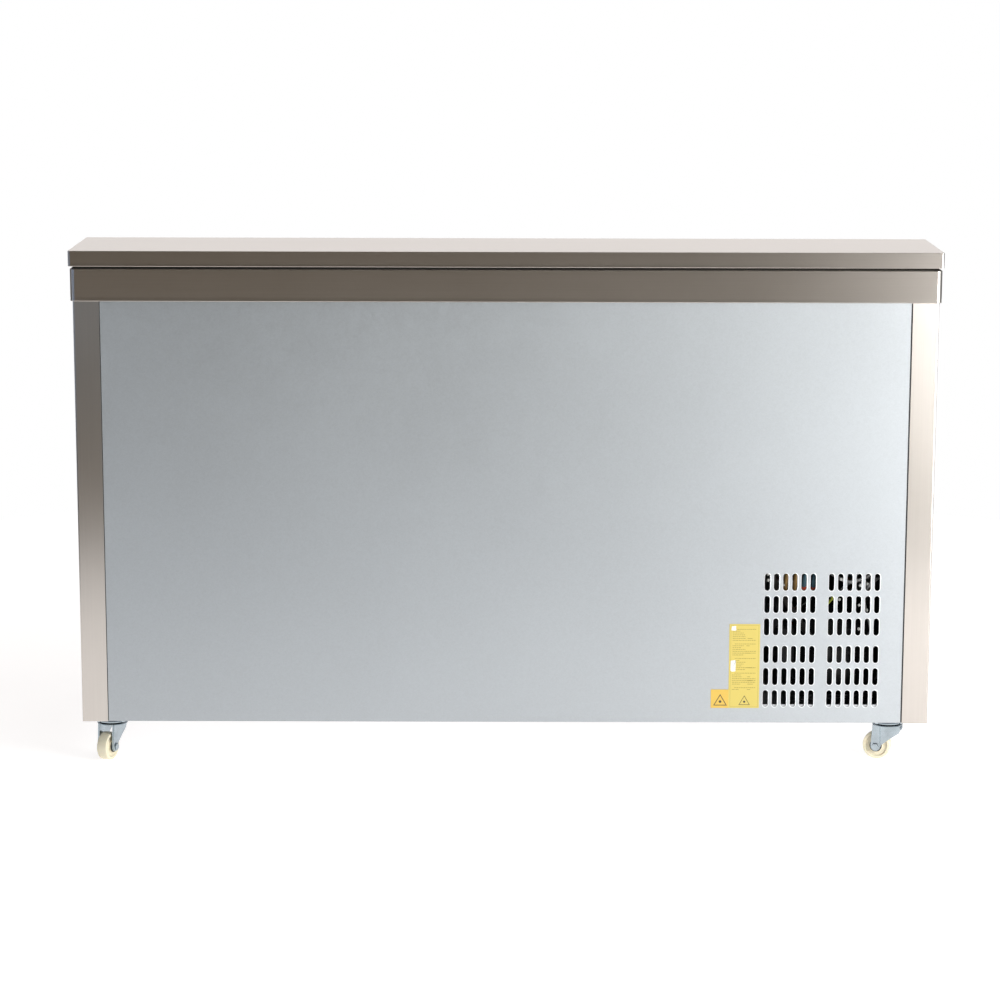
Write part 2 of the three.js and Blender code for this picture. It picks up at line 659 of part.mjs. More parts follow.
function makeControls() {
  const { x0, x1, z0, z1 } = CONTROL;
  const back = box(x0 - 8, x1 + 6, -320.5, -318.5, z0 - 5, z1 + 5);
  const tray = box(x0 + 3, x1 - 3, -320, -272, z0 + 3, z1 - 3);
  const pocket = box(x0 + 5, x1 - 5, -330, -316.5, z0 + 5, z1 - 5);
  const room = box(x0 + 5, x1 - 5, -314.5, -274, z0 + 5, z1 - 5);
  const knobHole = bar("y", 4.4, -330, -300, [KNOB.x, KNOB.z], 12);
  const rockerHole = box(ROCKER.x - 15, ROCKER.x + 15, -330, -300, ROCKER.z - 12, ROCKER.z + 12);
  const lampHole = bar("y", 5.4, -330, -300, [LAMP.x, LAMP.z], 14);
  const housing = cut(join(back, tray), pocket, room, knobHole, rockerHole, lampHole);
  addPart("control_box", housing, "black_plastic");

  const skirt = bar("y", 19, -319, -316.8, [KNOB.x, KNOB.z], 32);
  const grip = bar("y", 14.5, -329, -318, [KNOB.x, KNOB.z], 24);
  const pointer = box(KNOB.x - 2.5, KNOB.x + 2.5, -329.6, -318, KNOB.z, KNOB.z + 18);
  const stem = bar("y", 4, -318, -296, [KNOB.x, KNOB.z], 12);
  addPart("thermostat_knob", join(skirt, grip, pointer, stem), "black_plastic");

  const rocker = prism(
    "x",
    [[-321, -10], [-318.6, 0], [-321, 10], [-304, 7], [-304, -7]].map(([y, z]) => [y, z + ROCKER.z]),
    ROCKER.x - 13.5,
    ROCKER.x + 13.5,
  );
  addPart("power_switch", rocker, "lamp");
  const lens = turned([[0, 0], [4.8, 0], [4.8, 16], [3.6, 18.5], [0, 19.6]], 14);
  lens.rotateX(Math.PI / 2).translate(LAMP.x, -301, LAMP.z);
  addPart("indicator_lamp", join(lens), "lamp");
}

function makeLabel() {
  const y0 = BODY_HALF_DEPTH - SHEET - CLEAR + 0.15;
  const tall = box(-447, -393, y0, y0 + 0.5, 103, 254.5);
  const square = box(-395, -362, y0, y0 + 0.5, 103, 136.5);
  addPart("rear_label", join(tall, square), "label");
}

// --- Castors ------------------------------------------------------------------------------

function placeCastor(geometry, castor) {
  return geometry.rotateZ(THREE.MathUtils.degToRad(castor.turn)).translate(castor.x, castor.y, 0);
}

function makeCastorPlate(castor) {
  const top = BODY_BOTTOM - CLEAR;
  const plate = prism("z", roundedRect(-29, 29, -29, 29, 4), top - 2.5, top);
  const race = turned([[0, 66], [25, 66], [27, 68], [27, top - 2], [0, top - 2]], 24);
  const pin = turned([[0, 58.5], [8, 58.5], [8, 61.6], [4, 61.6], [4, 67], [0, 67]], 16);
  const geometry = join(plate, race, pin).translate(castor.x, castor.y, 0);
  addPart("castor_plate_" + castor.name, geometry, "zinc");
}

function makeFork(castor) {
  const crown = bar("z", 27, 62.4, 65.4, [0, 0], 24);
  const outline = [
    [-24, 65.4],
    [-25, 61],
    [-5, 48],
    [TRAIL - 9, AXLE_Z],
    [TRAIL - 6, AXLE_Z - 7],
    [TRAIL, AXLE_Z - 9.5],
    [TRAIL + 6, AXLE_Z - 7],
    [TRAIL + 9, AXLE_Z],
    [TRAIL + 6.5, 56],
    [TRAIL + 5.5, 65.4],
  ];
  const legs = [-14.6, 12.4].map((y) => prism("y", outline, y, y + 2.2));
  const axle = bar("y", 4, -16.5, 16.5, [TRAIL, AXLE_Z], 12);
  const heads = [-17.4, 14].map((y) => bar("y", 6.5, y, y + 3.4, [TRAIL, AXLE_Z], 6));
  const hole = bar("z", 4.4, 50, 80, [0, 0], 16);
  const fork = join(cut(join(crown, ...legs), hole), axle, ...heads);
  addPart("castor_fork_" + castor.name, placeCastor(fork, castor), "zinc");
}

function makeWheel(castor) {
  const profile = [
    [4.4, -10.5],
    [10, -10.5],
    [11.5, -7.5],
    [19, -7.5],
    [20.5, -9.5],
    [23, -9.5],
    [WHEEL_RADIUS, -7],
    [WHEEL_RADIUS, 7],
    [23, 9.5],
    [20.5, 9.5],
    [19, 7.5],
    [11.5, 7.5],
    [10, 10.5],
    [4.4, 10.5],
    [4.4, -10.5],
  ];
  const wheel = turned(profile, WHEEL_SIDES);
  wheel.rotateZ(Math.PI / WHEEL_SIDES).rotateX(-Math.PI / 2).translate(TRAIL, 0, AXLE_Z);
  addPart("castor_wheel_" + castor.name, placeCastor(join(wheel), castor), "nylon");
}

// --- Assembly -----------------------------------------------------------------------------

makeCollar();
makeDeck();
makeSidePanel("side_panel_left", -1);
makeSidePanel("side_panel_right", 1);
makeRearPanel();
makeFrontPanel();
makeBasePan();
makeInsulation();
makeLiner();
makeBreakerFrame();
makeDrain();
makeHinge("left", -735, -15);
makeHinge("right", 15, 735);
makeLid("left", -1);
makeLid("right", 1);
makeEvaporatorCover();
makeEvaporator();
makeColdFan();
makeBasket("left", -1);
makeBasket("right", 1);
makeCompressor();
makeCondenser();
makePipes();
makeGrille();
makeControls();
makeLabel();
for (const castor of CASTORS) {
  makeCastorPlate(castor);
  makeFork(castor);
  makeWheel(castor);
}

export default group;
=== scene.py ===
"""Looks for the slope-front chest freezer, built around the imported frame.

The fixed deck and the vented back face +Y, the sloping lids and the controls face -Y. Lengths inside the
shape functions are millimetres and become metres when a shape is turned into a mesh.
"""

import json
import math
import random
from contextlib import contextmanager

import bmesh
import bpy
from mathutils import Matrix, Vector


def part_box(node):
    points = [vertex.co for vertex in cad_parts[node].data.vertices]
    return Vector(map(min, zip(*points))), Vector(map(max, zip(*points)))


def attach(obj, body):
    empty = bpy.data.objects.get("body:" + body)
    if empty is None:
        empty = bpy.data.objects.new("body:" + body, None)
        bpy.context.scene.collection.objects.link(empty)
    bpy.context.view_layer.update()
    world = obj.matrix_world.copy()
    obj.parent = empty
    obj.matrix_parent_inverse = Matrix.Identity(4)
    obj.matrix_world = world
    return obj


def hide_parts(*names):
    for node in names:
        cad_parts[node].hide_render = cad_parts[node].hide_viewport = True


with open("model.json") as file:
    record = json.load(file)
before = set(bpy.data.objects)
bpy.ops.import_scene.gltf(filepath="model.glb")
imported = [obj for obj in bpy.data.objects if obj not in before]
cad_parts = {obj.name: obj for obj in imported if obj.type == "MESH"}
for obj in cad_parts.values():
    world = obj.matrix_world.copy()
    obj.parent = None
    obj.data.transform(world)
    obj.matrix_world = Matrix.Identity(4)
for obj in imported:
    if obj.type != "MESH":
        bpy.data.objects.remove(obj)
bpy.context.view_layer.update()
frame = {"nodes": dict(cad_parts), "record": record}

MM = 0.001
BODY_OF = {node: body for body, nodes in frame["record"]["behaviour"]["bodies"].items()
           for node in nodes}
SLOT_OF = {part["node"]: part["material_slot"] for part in frame["record"]["subparts"]}

# Overall sizes, in millimetres.
HALF_WIDTH = 750
HALF_DEPTH = 330
HEIGHT = 907
BODY_BOTTOM = 76
BODY_X = 744
BODY_Y = 324
SHEET = 1.2
SLOPE = math.tan(math.radians(15))
HINGE_Y = 84
HINGE_Z = 903
BAND = 27
COLLAR_TOP = 31
COLLAR_BOTTOM = 87
LID_REAR = 79.5
SIDES = (("left", -1), ("right", 1))
CASTOR_TURN = {"rear_left": -18, "rear_right": 68, "front_left": 205, "front_right": 250}


# --- Materials ----------------------------------------------------------------------------


def add_node(tree, kind, inputs=None, **settings):
    node = tree.nodes.new(kind)
    for key, value in settings.items():
        setattr(node, key, value)
    for key, value in (inputs or {}).items():
        if isinstance(value, bpy.types.NodeSocket):
            tree.links.new(value, node.inputs[key])
        else:
            node.inputs[key].default_value = value
    return node


def math_node(tree, operation, a, b=0.0, c=0.0):
    return add_node(tree, "ShaderNodeMath", {0: a, 1: b, 2: c}, operation=operation).outputs[0]


# How much each finer octave of the noise counts.
GRIT = 0.55


def pattern(tree, coords, layer):
    """One grey pattern between 0 and 1, from a layer's description."""
    scale = layer["scale"]
    scale = scale if isinstance(scale, tuple) else (scale, scale, scale)
    mapping = add_node(tree, "ShaderNodeMapping", {"Vector": coords, "Scale": scale})
    mapping.inputs["Location"].default_value = layer.get("shift", (0.0, 0.0, 0.0))
    vector = mapping.outputs[0]
    if layer.get("kind") == "cells":
        cells = add_node(tree, "ShaderNodeTexVoronoi", {"Vector": vector, "Scale": 1.0}, feature="F1")
        value = add_node(tree, "ShaderNodeSeparateColor", {0: cells.outputs["Color"]}).outputs[0]
    else:
        noise = add_node(tree, "ShaderNodeTexNoise", {"Vector": vector, "Scale": 1.0,
                         "Detail": layer.get("detail", 3.0), "Roughness": GRIT})
        value = noise.outputs[0]
    low, high = layer.get("window", (0.0, 1.0))
    return add_node(tree, "ShaderNodeMapRange",
                    {"Value": value, "From Min": low, "From Max": high}).outputs[0]


def mottle(scale, tint, rough=0.0, bump=0.0, **more):
    """A layer of soft noise: its share of the colour, its added roughness and its bump height in metres."""
    return {"scale": scale, "tint": tint, "rough": rough, "bump": bump, **more}


def flecks(*values, **more):
    """A layer of small even cells, each a little lighter or darker than its neighbours."""
    return mottle(*values, kind="cells", **more)


def surface(name, colour, metallic, roughness, layers, settings=None, tangent=None):
    """A Principled material whose colour, roughness and bump come from a stack of layers."""
    material = bpy.data.materials.new(name)
    material.use_nodes = True
    tree = material.node_tree
    tree.nodes.clear()
    shader = tree.nodes.new("ShaderNodeBsdfPrincipled")
    output = tree.nodes.new("ShaderNodeOutputMaterial")
    tree.links.new(shader.outputs[0], output.inputs[0])
    coords = tree.nodes.new("ShaderNodeTexCoord").outputs["Object"]
    shade = 1.0 - sum(layer["tint"] for layer in layers) / 2
    rough = roughness - sum(layer["rough"] for layer in layers) / 2
    normal = None
    for layer in layers:
        value = pattern(tree, coords, layer)
        shade = math_node(tree, "MULTIPLY_ADD", value, layer["tint"], shade)
        if layer["rough"]:
            rough = math_node(tree, "MULTIPLY_ADD", value, layer["rough"], rough)
        if layer["bump"]:
            inputs = {"Height": value, "Distance": layer["bump"], "Strength": 1.0}
            if normal:
                inputs["Normal"] = normal
            normal = add_node(tree, "ShaderNodeBump", inputs).outputs[0]
    tinted = add_node(tree, "ShaderNodeVectorMath", {0: colour, "Scale": shade}, operation="SCALE")
    tree.links.new(tinted.outputs[0], shader.inputs["Base Color"])
    if isinstance(rough, bpy.types.NodeSocket):
        tree.links.new(rough, shader.inputs["Roughness"])
    else:
        shader.inputs["Roughness"].default_value = rough
    if normal:
        tree.links.new(normal, shader.inputs["Normal"])
    if tangent:
        direction = add_node(tree, "ShaderNodeCombineXYZ", dict(enumerate(tangent)))
        tree.links.new(direction.outputs[0], shader.inputs["Tangent"])
    shader.inputs["Metallic"].default_value = metallic
    for key, value in (settings or {}).items():
        shader.inputs[key].default_value = value
    return material


# A fixed direction along the length; its small Y part keeps it usable on the end faces.
LENGTHWISE = (1.0, 0.02, 0.0)
WARM_STEEL = (0.62, 0.575, 0.535)
STEEL_ROUGHNESS = 0.29


def brushed(name, grain):
    """Stainless sheet: fine grain drawn along one axis, cloudy polish marks and a few long scratches."""
    fine = tuple(6.0 if axis == grain else 1300.0 for axis in "xyz")
    long = tuple(1.4 if axis == grain else 300.0 for axis in "xyz")
    layers = [
        mottle(fine, 0.09, bump=1e-7, detail=2),
        mottle(long, 0.03, window=(0.2, 0.8)),
        mottle(3, 0.03, 0.03, 0.0001, detail=2),
        mottle(30, 0.012, detail=3, window=(0.3, 0.7)),
    ]
    spread = 0.0 if grain == "z" else 0.25
    return surface(name, WARM_STEEL, 1.0, STEEL_ROUGHNESS, layers,
                   {"Anisotropic": 0.7, "Anisotropic Rotation": spread}, LENGTHWISE)


STEEL_LONG = brushed("stainless_long_grain", "x")
STEEL_UPRIGHT = brushed("stainless_upright_grain", "z")
POLISHED = surface("polished_bar", (0.74, 0.74, 0.75), 1.0, 0.14, [
    mottle((40, 1400, 1400), 0.04, 0.05, 4e-6),
    mottle(18, 0.03, 0.07, window=(0.3, 0.7)),
])
GALVANISED = surface("galvanised_sheet", (0.492, 0.516, 0.538), 0.8, 0.47, [
    flecks(260, 0.035, 0.05),
    flecks(620, 0.06, 0.05, shift=(3.1, 0.7, 1.9)),
    mottle(1100, 0.05, 0.05, 6e-6, detail=2),
    mottle(2.6, 0.03, 0.04, 0.0005, detail=4, window=(0.25, 0.75)),
])
# The slot rims are the same galvanised sheet; their rounded shape is real, and their much lighter colour is
# a painted highlight for the light their turned edges catch.
SLOT_RIM_HIGHLIGHT = surface("slot_rim_painted_highlight", (0.86, 0.87, 0.88), 0.55, 0.42, [
    flecks(620, 0.05, 0.06),
    mottle(1100, 0.05, 0.05, 6e-6, detail=2),
])
GALVANISED_DULL = surface("galvanised_dull", (0.50, 0.51, 0.53), 0.8, 0.5, [
    flecks(90, 0.12, 0.1),
    mottle(700, 0.08, 0.05, 1e-5),
    mottle(9, 0.14, 0.08, detail=5, window=(0.25, 0.75)),
])
DARK_SHEET = surface("dark_painted_sheet", (0.018, 0.018, 0.019), 0.0, 0.55, [
    mottle(500, 0.15, 0.1, 2e-5),
    mottle(9, 0.4, 0.12, detail=5, window=(0.3, 0.75)),
])
FOAM = surface("insulation_foam", (0.74, 0.63, 0.40), 0.0, 0.9, [
    flecks(700, 0.10, bump=0.0002),
    mottle(12, 0.12, detail=5),
])
DARK_FOAM = surface("seal_foam", (0.022, 0.018, 0.015), 0.0, 0.95, [
    flecks(900, 0.3, bump=0.0001),
    mottle(30, 0.2),
])
LINER = surface("liner_plastic", (0.80, 0.81, 0.80), 0.0, 0.34, [
    mottle(1100, 0.02, 0.05, 1e-5),
    mottle(5, 0.03, 0.1, detail=4, window=(0.3, 0.7)),
    mottle(60, 0.015, 0.05, detail=5, window=(0.4, 0.7)),
])
GREY_TRIM = surface("grey_moulding", (0.27, 0.285, 0.30), 0.0, 0.48, [
    flecks(1500, 0.05, 0.06, 4e-5),
    mottle(14, 0.06, 0.1, detail=4),
])
COATING = surface("white_dip_coating", (0.83, 0.83, 0.81), 0.0, 0.28, [
    mottle(240, 0.03, 0.06, 5e-5, detail=2),
    mottle(12, 0.03, 0.06),
])
RUBBER = surface("gasket_rubber", (0.022, 0.022, 0.024), 0.0, 0.62, [
    mottle(900, 0.2, 0.1, 3e-5),
    mottle(20, 0.25, 0.1, detail=4),
])
ALUMINIUM = surface("mill_aluminium", (0.66, 0.67, 0.68), 1.0, 0.36, [
    mottle((8, 900, 900), 0.06, 0.1, 1e-5),
    mottle(7, 0.06, 0.08, detail=4, window=(0.3, 0.7)),
])
ENAMEL = surface("black_enamel", (0.012, 0.012, 0.013), 0.0, 0.28, [
    mottle(160, 0.1, 0.08, 6e-5, detail=2),
    mottle(16, 0.5, 0.25, detail=5, window=(0.4, 0.75)),
])
BLACK_PLASTIC = surface("black_moulding", (0.020, 0.020, 0.022), 0.0, 0.46, [
    flecks(1800, 0.15, 0.1, 4e-5),
    mottle(25, 0.2, 0.14, detail=4),
])
COPPER = surface("copper_tube", (0.72, 0.34, 0.18), 1.0, 0.30, [
    mottle(70, 0.14, 0.14, detail=5, window=(0.3, 0.7)),
    mottle(900, 0.06, 0.06, 1e-5),
])
ZINC = surface("bluish_zinc_plate", (0.44, 0.50, 0.54), 1.0, 0.22, [
    mottle(55, 0.30, 0.14, detail=5, window=(0.25, 0.75)),
    mottle(600, 0.10, 0.08, 2e-5),
])
NYLON = surface("cream_nylon", (0.80, 0.73, 0.55), 0.0, 0.42, [
    mottle(60, 0.08, 0.1, detail=4, window=(0.3, 0.7)),
    mottle(700, 0.05, 0.06, 3e-5),
], {"Subsurface Weight": 0.12, "Subsurface Radius": (0.004, 0.003, 0.002)})


def print_ink(name, colour):
    return surface(name, colour, 0.0, 0.5, [
        mottle(900, 0.25, 0.1),
        mottle(60, 0.1, 0.05),
    ])


def cable_skin(name, colour):
    return surface(name, colour, 0.0, 0.38, [
        mottle(500, 0.1, 0.08, 2e-5),
        mottle(30, 0.15, 0.1, detail=4),
    ])


YELLOW = surface("yellow_sticker", (0.64, 0.51, 0.125), 0.0, 0.42, [
    mottle(500, 0.05, 0.06),
    mottle(18, 0.06, 0.06, 3e-5),
])
AMBER = surface("amber_sticker", (0.70, 0.46, 0.085), 0.0, 0.42, [
    mottle(500, 0.05, 0.06),
    mottle(18, 0.06, 0.06, 3e-5),
])
INK = print_ink("printed_ink", (0.05, 0.045, 0.03))
OCHRE_INK = print_ink("ochre_ink", (0.35, 0.27, 0.06))
WHITE_PRINT = print_ink("white_print", (0.86, 0.86, 0.82))
RED_ENAMEL = cable_skin("red_sleeve", (0.50, 0.07, 0.03))
BLUE_CABLE = cable_skin("blue_grey_cable", (0.06, 0.13, 0.17))
BROWN_CABLE = cable_skin("brown_cable", (0.26, 0.15, 0.04))
GREY_CABLE = cable_skin("grey_cable", (0.22, 0.22, 0.22))
EARTH_CABLE = cable_skin("earth_cable", (0.40, 0.45, 0.04))
WHITE_CABLE = cable_skin("white_cable", (0.75, 0.75, 0.72))
GREEN_LENS = surface("green_lens", (0.03, 0.42, 0.10), 0.0, 0.16, [
    mottle(300, 0.15, 0.05),
], {"Transmission Weight": 0.35, "IOR": 1.49})

SLOT_MATERIAL = {
    "stainless": STEEL_LONG,
    "polished_steel": POLISHED,
    "galvanised": GALVANISED,
    "foam": FOAM,
    "white_liner": LINER,
    "grey_trim": GREY_TRIM,
    "basket_coating": COATING,
    "gasket_rubber": RUBBER,
    "plug_rubber": RUBBER,
    "evaporator_aluminium": ALUMINIUM,
    "black_enamel": ENAMEL,
    "black_plastic": BLACK_PLASTIC,
    "copper": COPPER,
    "green_switch": GREEN_LENS,
    "yellow_label": YELLOW,
    "zinc_plate": ZINC,
    "nylon_wheel": NYLON,
}
for node, obj in frame["nodes"].items():
    obj.data.materials.clear()
    obj.data.materials.append(SLOT_MATERIAL[SLOT_OF[node]])


# --- Shapes -------------------------------------------------------------------------------


def new_object(name, data):
    obj = bpy.data.objects.new(name, data)
    bpy.context.scene.collection.objects.link(obj)
    return obj


@contextmanager
def editing(mesh):
    """Opens a mesh for editing and writes it back."""
    bm = bmesh.new()
    bm.from_mesh(mesh)
    yield bm
    bm.to_mesh(mesh)
    bm.free()


WELD = 0.002 * MM


class Shape:
    """A mesh in millimetres that grows from closed parts."""

    def __init__(self):
        self.points = []
        self.faces = []

    def add(self, points, faces, place=None):
        start = len(self.points)
        for point in points:
            self.points.append(place @ Vector(point) if place else Vector(point))
        self.faces.extend([start + corner for corner in face] for face in faces)
        return self

    def loft(self, rings, place=None, ends="caps"):
        """Skins rings of equal length. The ends get flat caps, strips of quads (for the outline of a bent
        sheet, out along one face and back along the other), or join each other as a hoop."""
        count = len(rings[0])
        last = len(rings) - 1
        faces = []
        for ring in range(len(rings) if ends == "hoop" else last):
            here = ring * count
            there = (ring + 1) % len(rings) * count
            for i in range(count):
                j = (i + 1) % count
                faces.append((here + i, here + j, there + j, there + i))
        if ends == "caps":
            faces.append(tuple(reversed(range(count))))
            faces.append(tuple(range(last * count, last * count + count)))
        if ends == "strips":
            for start in (0, last * count):
                faces.extend((start + i, start + i + 1, start + count - 2 - i, start + count - 1 - i)
                             for i in range(count // 2 - 1))
        return self.add([point for ring in rings for point in ring], faces, place)

    def mesh(self, name):
        mesh = bpy.data.meshes.new(name)
        mesh.from_pydata([point * MM for point in self.points], [], self.faces)
        with editing(mesh) as bm:
            bmesh.ops.remove_doubles(bm, verts=bm.verts, dist=WELD)
            bmesh.ops.dissolve_degenerate(bm, edges=bm.edges, dist=WELD)
            bmesh.ops.recalc_face_normals(bm, faces=bm.faces)
        return mesh


def add_piece(name, shape, material, like, nodes=(), flat_angle=32):
    """Puts a shape in the scene, rides it on the body of the node it is like, and hides the nodes it
    replaces.
    """
    mesh = shape.mesh(name) if isinstance(shape, Shape) else shape
    obj = new_object(name, mesh)
    mesh.materials.clear()
    mesh.materials.append(material)
    for polygon in mesh.polygons:
        polygon.use_smooth = True
    mesh.set_sharp_from_angle(angle=math.radians(flat_angle))
    weighted = obj.modifiers.new("weighted_normals", "WEIGHTED_NORMAL")
    weighted.keep_sharp = True
    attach(obj, BODY_OF[like])
    if nodes:
        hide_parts(*nodes)
    return obj


def stand_in(name, shape, material, node, flat_angle=32):
    """A piece that replaces the one node it is like."""
    return add_piece(name, shape, material, node, (node,), flat_angle)


def evaluated_mesh(obj):
    """The object's mesh with its modifiers applied; the object itself is removed."""
    graph = bpy.context.evaluated_depsgraph_get()
    graph.update()
    mesh = bpy.data.meshes.new_from_object(obj.evaluated_get(graph))
    bpy.data.objects.remove(obj)
    return mesh


def round_edges(obj, name, width, segments, angle):
    """Adds a bevel, its width in millimetres, on edges sharper than the angle in degrees."""
    bevel = obj.modifiers.new(name, "BEVEL")
    bevel.width = width * MM
    bevel.segments = segments
    bevel.limit_method = "ANGLE"
    bevel.angle_limit = math.radians(angle)


def refined(node, material, width=0.6, segments=2, angle=25, flat_angle=32, whole_faces=True):
    """A copy of a CAD node with rounded edges, which replaces the node. Its flat faces are made whole first
    unless whole_faces is off, as for a face with several holes."""
    mesh = frame["nodes"][node].data.copy()
    with editing(mesh) as bm:
        bmesh.ops.remove_doubles(bm, verts=bm.verts, dist=WELD)
        if whole_faces:
            bmesh.ops.dissolve_limit(bm, angle_limit=math.radians(1.0), verts=bm.verts, edges=bm.edges)
    shaper = new_object(node + "_shaper", mesh)
    round_edges(shaper, "edges", width, segments, angle)
    return stand_in(node + "_finish", evaluated_mesh(shaper), material, node, flat_angle)


def plate(outline, holes, thickness, edge, place):
    """A flat plate with holes and softly rounded edges, lying in XY before it is placed."""
    data = bpy.data.curves.new("plate", "CURVE")
    data.dimensions = "2D"
    data.fill_mode = "BOTH"
    data.extrude = (thickness / 2 - edge) * MM
    data.bevel_depth = edge * MM
    data.bevel_resolution = 1
    data.offset = -edge * MM
    for ring in [outline, *holes]:
        spline = data.splines.new("POLY")
        spline.points.add(len(ring) - 1)
        for point, (x, y) in zip(spline.points, ring):
            point.co = (x * MM, y * MM, 0.0, 1.0)
        spline.use_cyclic_u = True
    mesh = evaluated_mesh(new_object("plate", data))
    mesh.transform(place)
    with editing(mesh) as bm:
        bmesh.ops.remove_doubles(bm, verts=bm.verts, dist=WELD)
        bmesh.ops.recalc_face_normals(bm, faces=bm.faces)
    return mesh


def join_meshes(*meshes):
    bm = bmesh.new()
    for mesh in meshes:
        bm.from_mesh(mesh)
    whole = bpy.data.meshes.new("joined")
    bm.to_mesh(whole)
    bm.free()
    return whole


def top_at(y, lower=0.0):
    """Height of the top surface at a depth y, lowered by an offset."""
    return HEIGHT - max(0.0, HINGE_Y - y) * SLOPE - lower


def circle(radius, count, centre=(0.0, 0.0)):
    step = 2 * math.pi / count
    return [(centre[0] + radius * math.cos(i * step), centre[1] + radius * math.sin(i * step))
            for i in range(count)]


def rounded_rect(x0, x1, y0, y1, radius, steps=4):
    points = []
    for cx, cy, turn in ((x1 - radius, y0 + radius, -90), (x1 - radius, y1 - radius, 0),
                         (x0 + radius, y1 - radius, 90), (x0 + radius, y0 + radius, 180)):
        for i in range(steps + 1):
            angle = math.radians(turn + 90 * i / steps)
            points.append((cx + radius * math.cos(angle), cy + radius * math.sin(angle)))
    return points


def slot_outline(x, z, width, height):
    """An upright slot with round ends, anticlockwise."""
    steps = 6
    radius = width / 2
    straight = height / 2 - radius
    points = []
    for centre, start in ((z + straight, 0), (z - straight, 180)):
        for i in range(steps + 1):
            angle = math.radians(start + 180 * i / steps)
            points.append((x + radius * math.cos(angle), centre + radius * math.sin(angle)))
    return points


def blended(first, second, share):
    """The outline a share of the way from one outline to another with as many points."""
    return [(a[0] + (b[0] - a[0]) * share, a[1] + (b[1] - a[1]) * share) for a, b in zip(first, second)]


def inset(outline, distance):
    """The outline moved inwards (anticlockwise outlines shrink)."""
    moved = []
    for i, here in enumerate(outline):
        before = Vector(outline[i - 1])
        after = Vector(outline[(i + 1) % len(outline)])
        here = Vector(here)
        first = (here - before).normalized()
        second = (after - here).normalized()
        left = Vector((-first.y - second.y, first.x + second.x))
        scale = distance * 2 / max(left.length_squared, 0.5)
        moved.append(tuple(here + left * scale))
    return moved


def turned_area(outline):
    return sum(a[0] * b[1] - b[0] * a[1] for a, b in zip(outline, outline[1:] + outline[:1]))


def slab(shape, outline, low, high, edge=0.4, place=None, steps=2):
    """An outline pushed along Z with rounded top and bottom edges."""
    if turned_area(outline) < 0:
        outline = outline[::-1]
    rings = []
    for i in range(steps + 1):
        angle = math.pi / 2 * i / steps
        rings.append((edge * (1 - math.sin(angle)), low + edge * (1 - math.cos(angle))))
    rings += [(back, low + high - z) for back, z in reversed(rings)]
    return shape.loft([[(x, y, z) for x, y in inset(outline, back)] for back, z in rings], place)


def box(shape, x0, x1, y0, y1, z0, z1, edge=0.4, corner=0.4, place=None):
    """A block with every edge rounded a little."""
    corner = min(corner, (x1 - x0) / 2.01, (y1 - y0) / 2.01)
    edge = min(edge, (z1 - z0) / 2.01, corner * 0.98)
    return slab(shape, rounded_rect(x0, x1, y0, y1, corner, 2), z0, z1, edge, place)


def lathe(shape, profile, sides=32, place=None):
    """A turned body round Z from (radius, z) points. A profile that meets the axis closes there."""
    rings = []
    for radius, z in profile:
        rings.append([(x, y, z) for x, y in circle(max(radius, 0.001), sides)])
    if profile[0] == profile[-1]:
        return shape.loft(rings[:-1], place, "hoop")
    return shape.loft(rings, place)


def smooth_route(route, spacing):
    """Points at an even spacing on a Catmull-Rom curve through the given points."""
    points = [Vector(point) for point in route]
    padded = [points[0] * 2 - points[1], *points, points[-1] * 2 - points[-2]]
    out = []
    for before, a, b, after in zip(padded, padded[1:], padded[2:], padded[3:]):
        count = max(2, round((b - a).length / spacing))
        for i in range(count):
            t = i / count
            out.append(0.5 * (2 * a + (b - before) * t + (2 * before - 5 * a + 4 * b - after) * t * t
                              + (3 * a - before - 3 * b + after) * t * t * t))
    out.append(points[-1])
    return out


def ring_round(centre, side, up, radius, sides):
    """Points round a centre, in the plane of two directions."""
    return [centre + (side * math.cos(a) + up * math.sin(a)) * radius
            for a in (2 * math.pi * k / sides for k in range(sides))]


def tube(shape, route, radius, sides=10, spacing=None, bends=True):
    """A round tube along a route, its ends a little rounded."""
    path = smooth_route(route, spacing or radius * 1.5) if bends else [Vector(point) for point in route]
    along = [(b - a).normalized() for a, b in zip(path, path[1:])]
    along.append(along[-1])
    side = along[0].orthogonal().normalized()
    rings = []
    last = len(path) - 1
    for i, (point, ahead) in enumerate(zip(path, along)):
        back = along[max(i - 1, 0)]
        forward = (ahead + back).normalized()
        side = (side - forward * side.dot(forward)).normalized()
        up = forward.cross(side)
        steps = ((1.0, 0.0),)
        if i == 0:
            steps = ((0.6, 0.0), (0.92, 0.15), (1.0, 0.4))
        if i == last:
            steps = ((1.0, -0.4), (0.92, -0.15), (0.6, 0.0))
        for share, shift in steps:
            centre = point + forward * shift * radius * 0.8
            rings.append(ring_round(centre, side, up, radius * share, sides))
    return shape.loft(rings)


def upright(x=0.0, y=0.0, z=0.0, turn=0.0):
    """Places something at a point, turned about Z."""
    return Matrix.Translation((x, y, z)) @ Matrix.Rotation(math.radians(turn), 4, "Z")


def facing(direction, x=0.0, y=0.0, z=0.0):
    """Turns +Z of a flat shape to face +Y or -Y, keeping its top up."""
    if direction == "-y":
        turn = Matrix(((1, 0, 0), (0, 0, -1), (0, 1, 0)))
    else:
        turn = Matrix(((-1, 0, 0), (0, 0, 1), (0, 1, 0)))
    return Matrix.Translation((x, y, z)) @ turn.to_4x4()


def metres(place):
    """The same placing for a mesh that is already in metres."""
    scaled = place.copy()
    scaled.translation = place.translation * MM
    return scaled


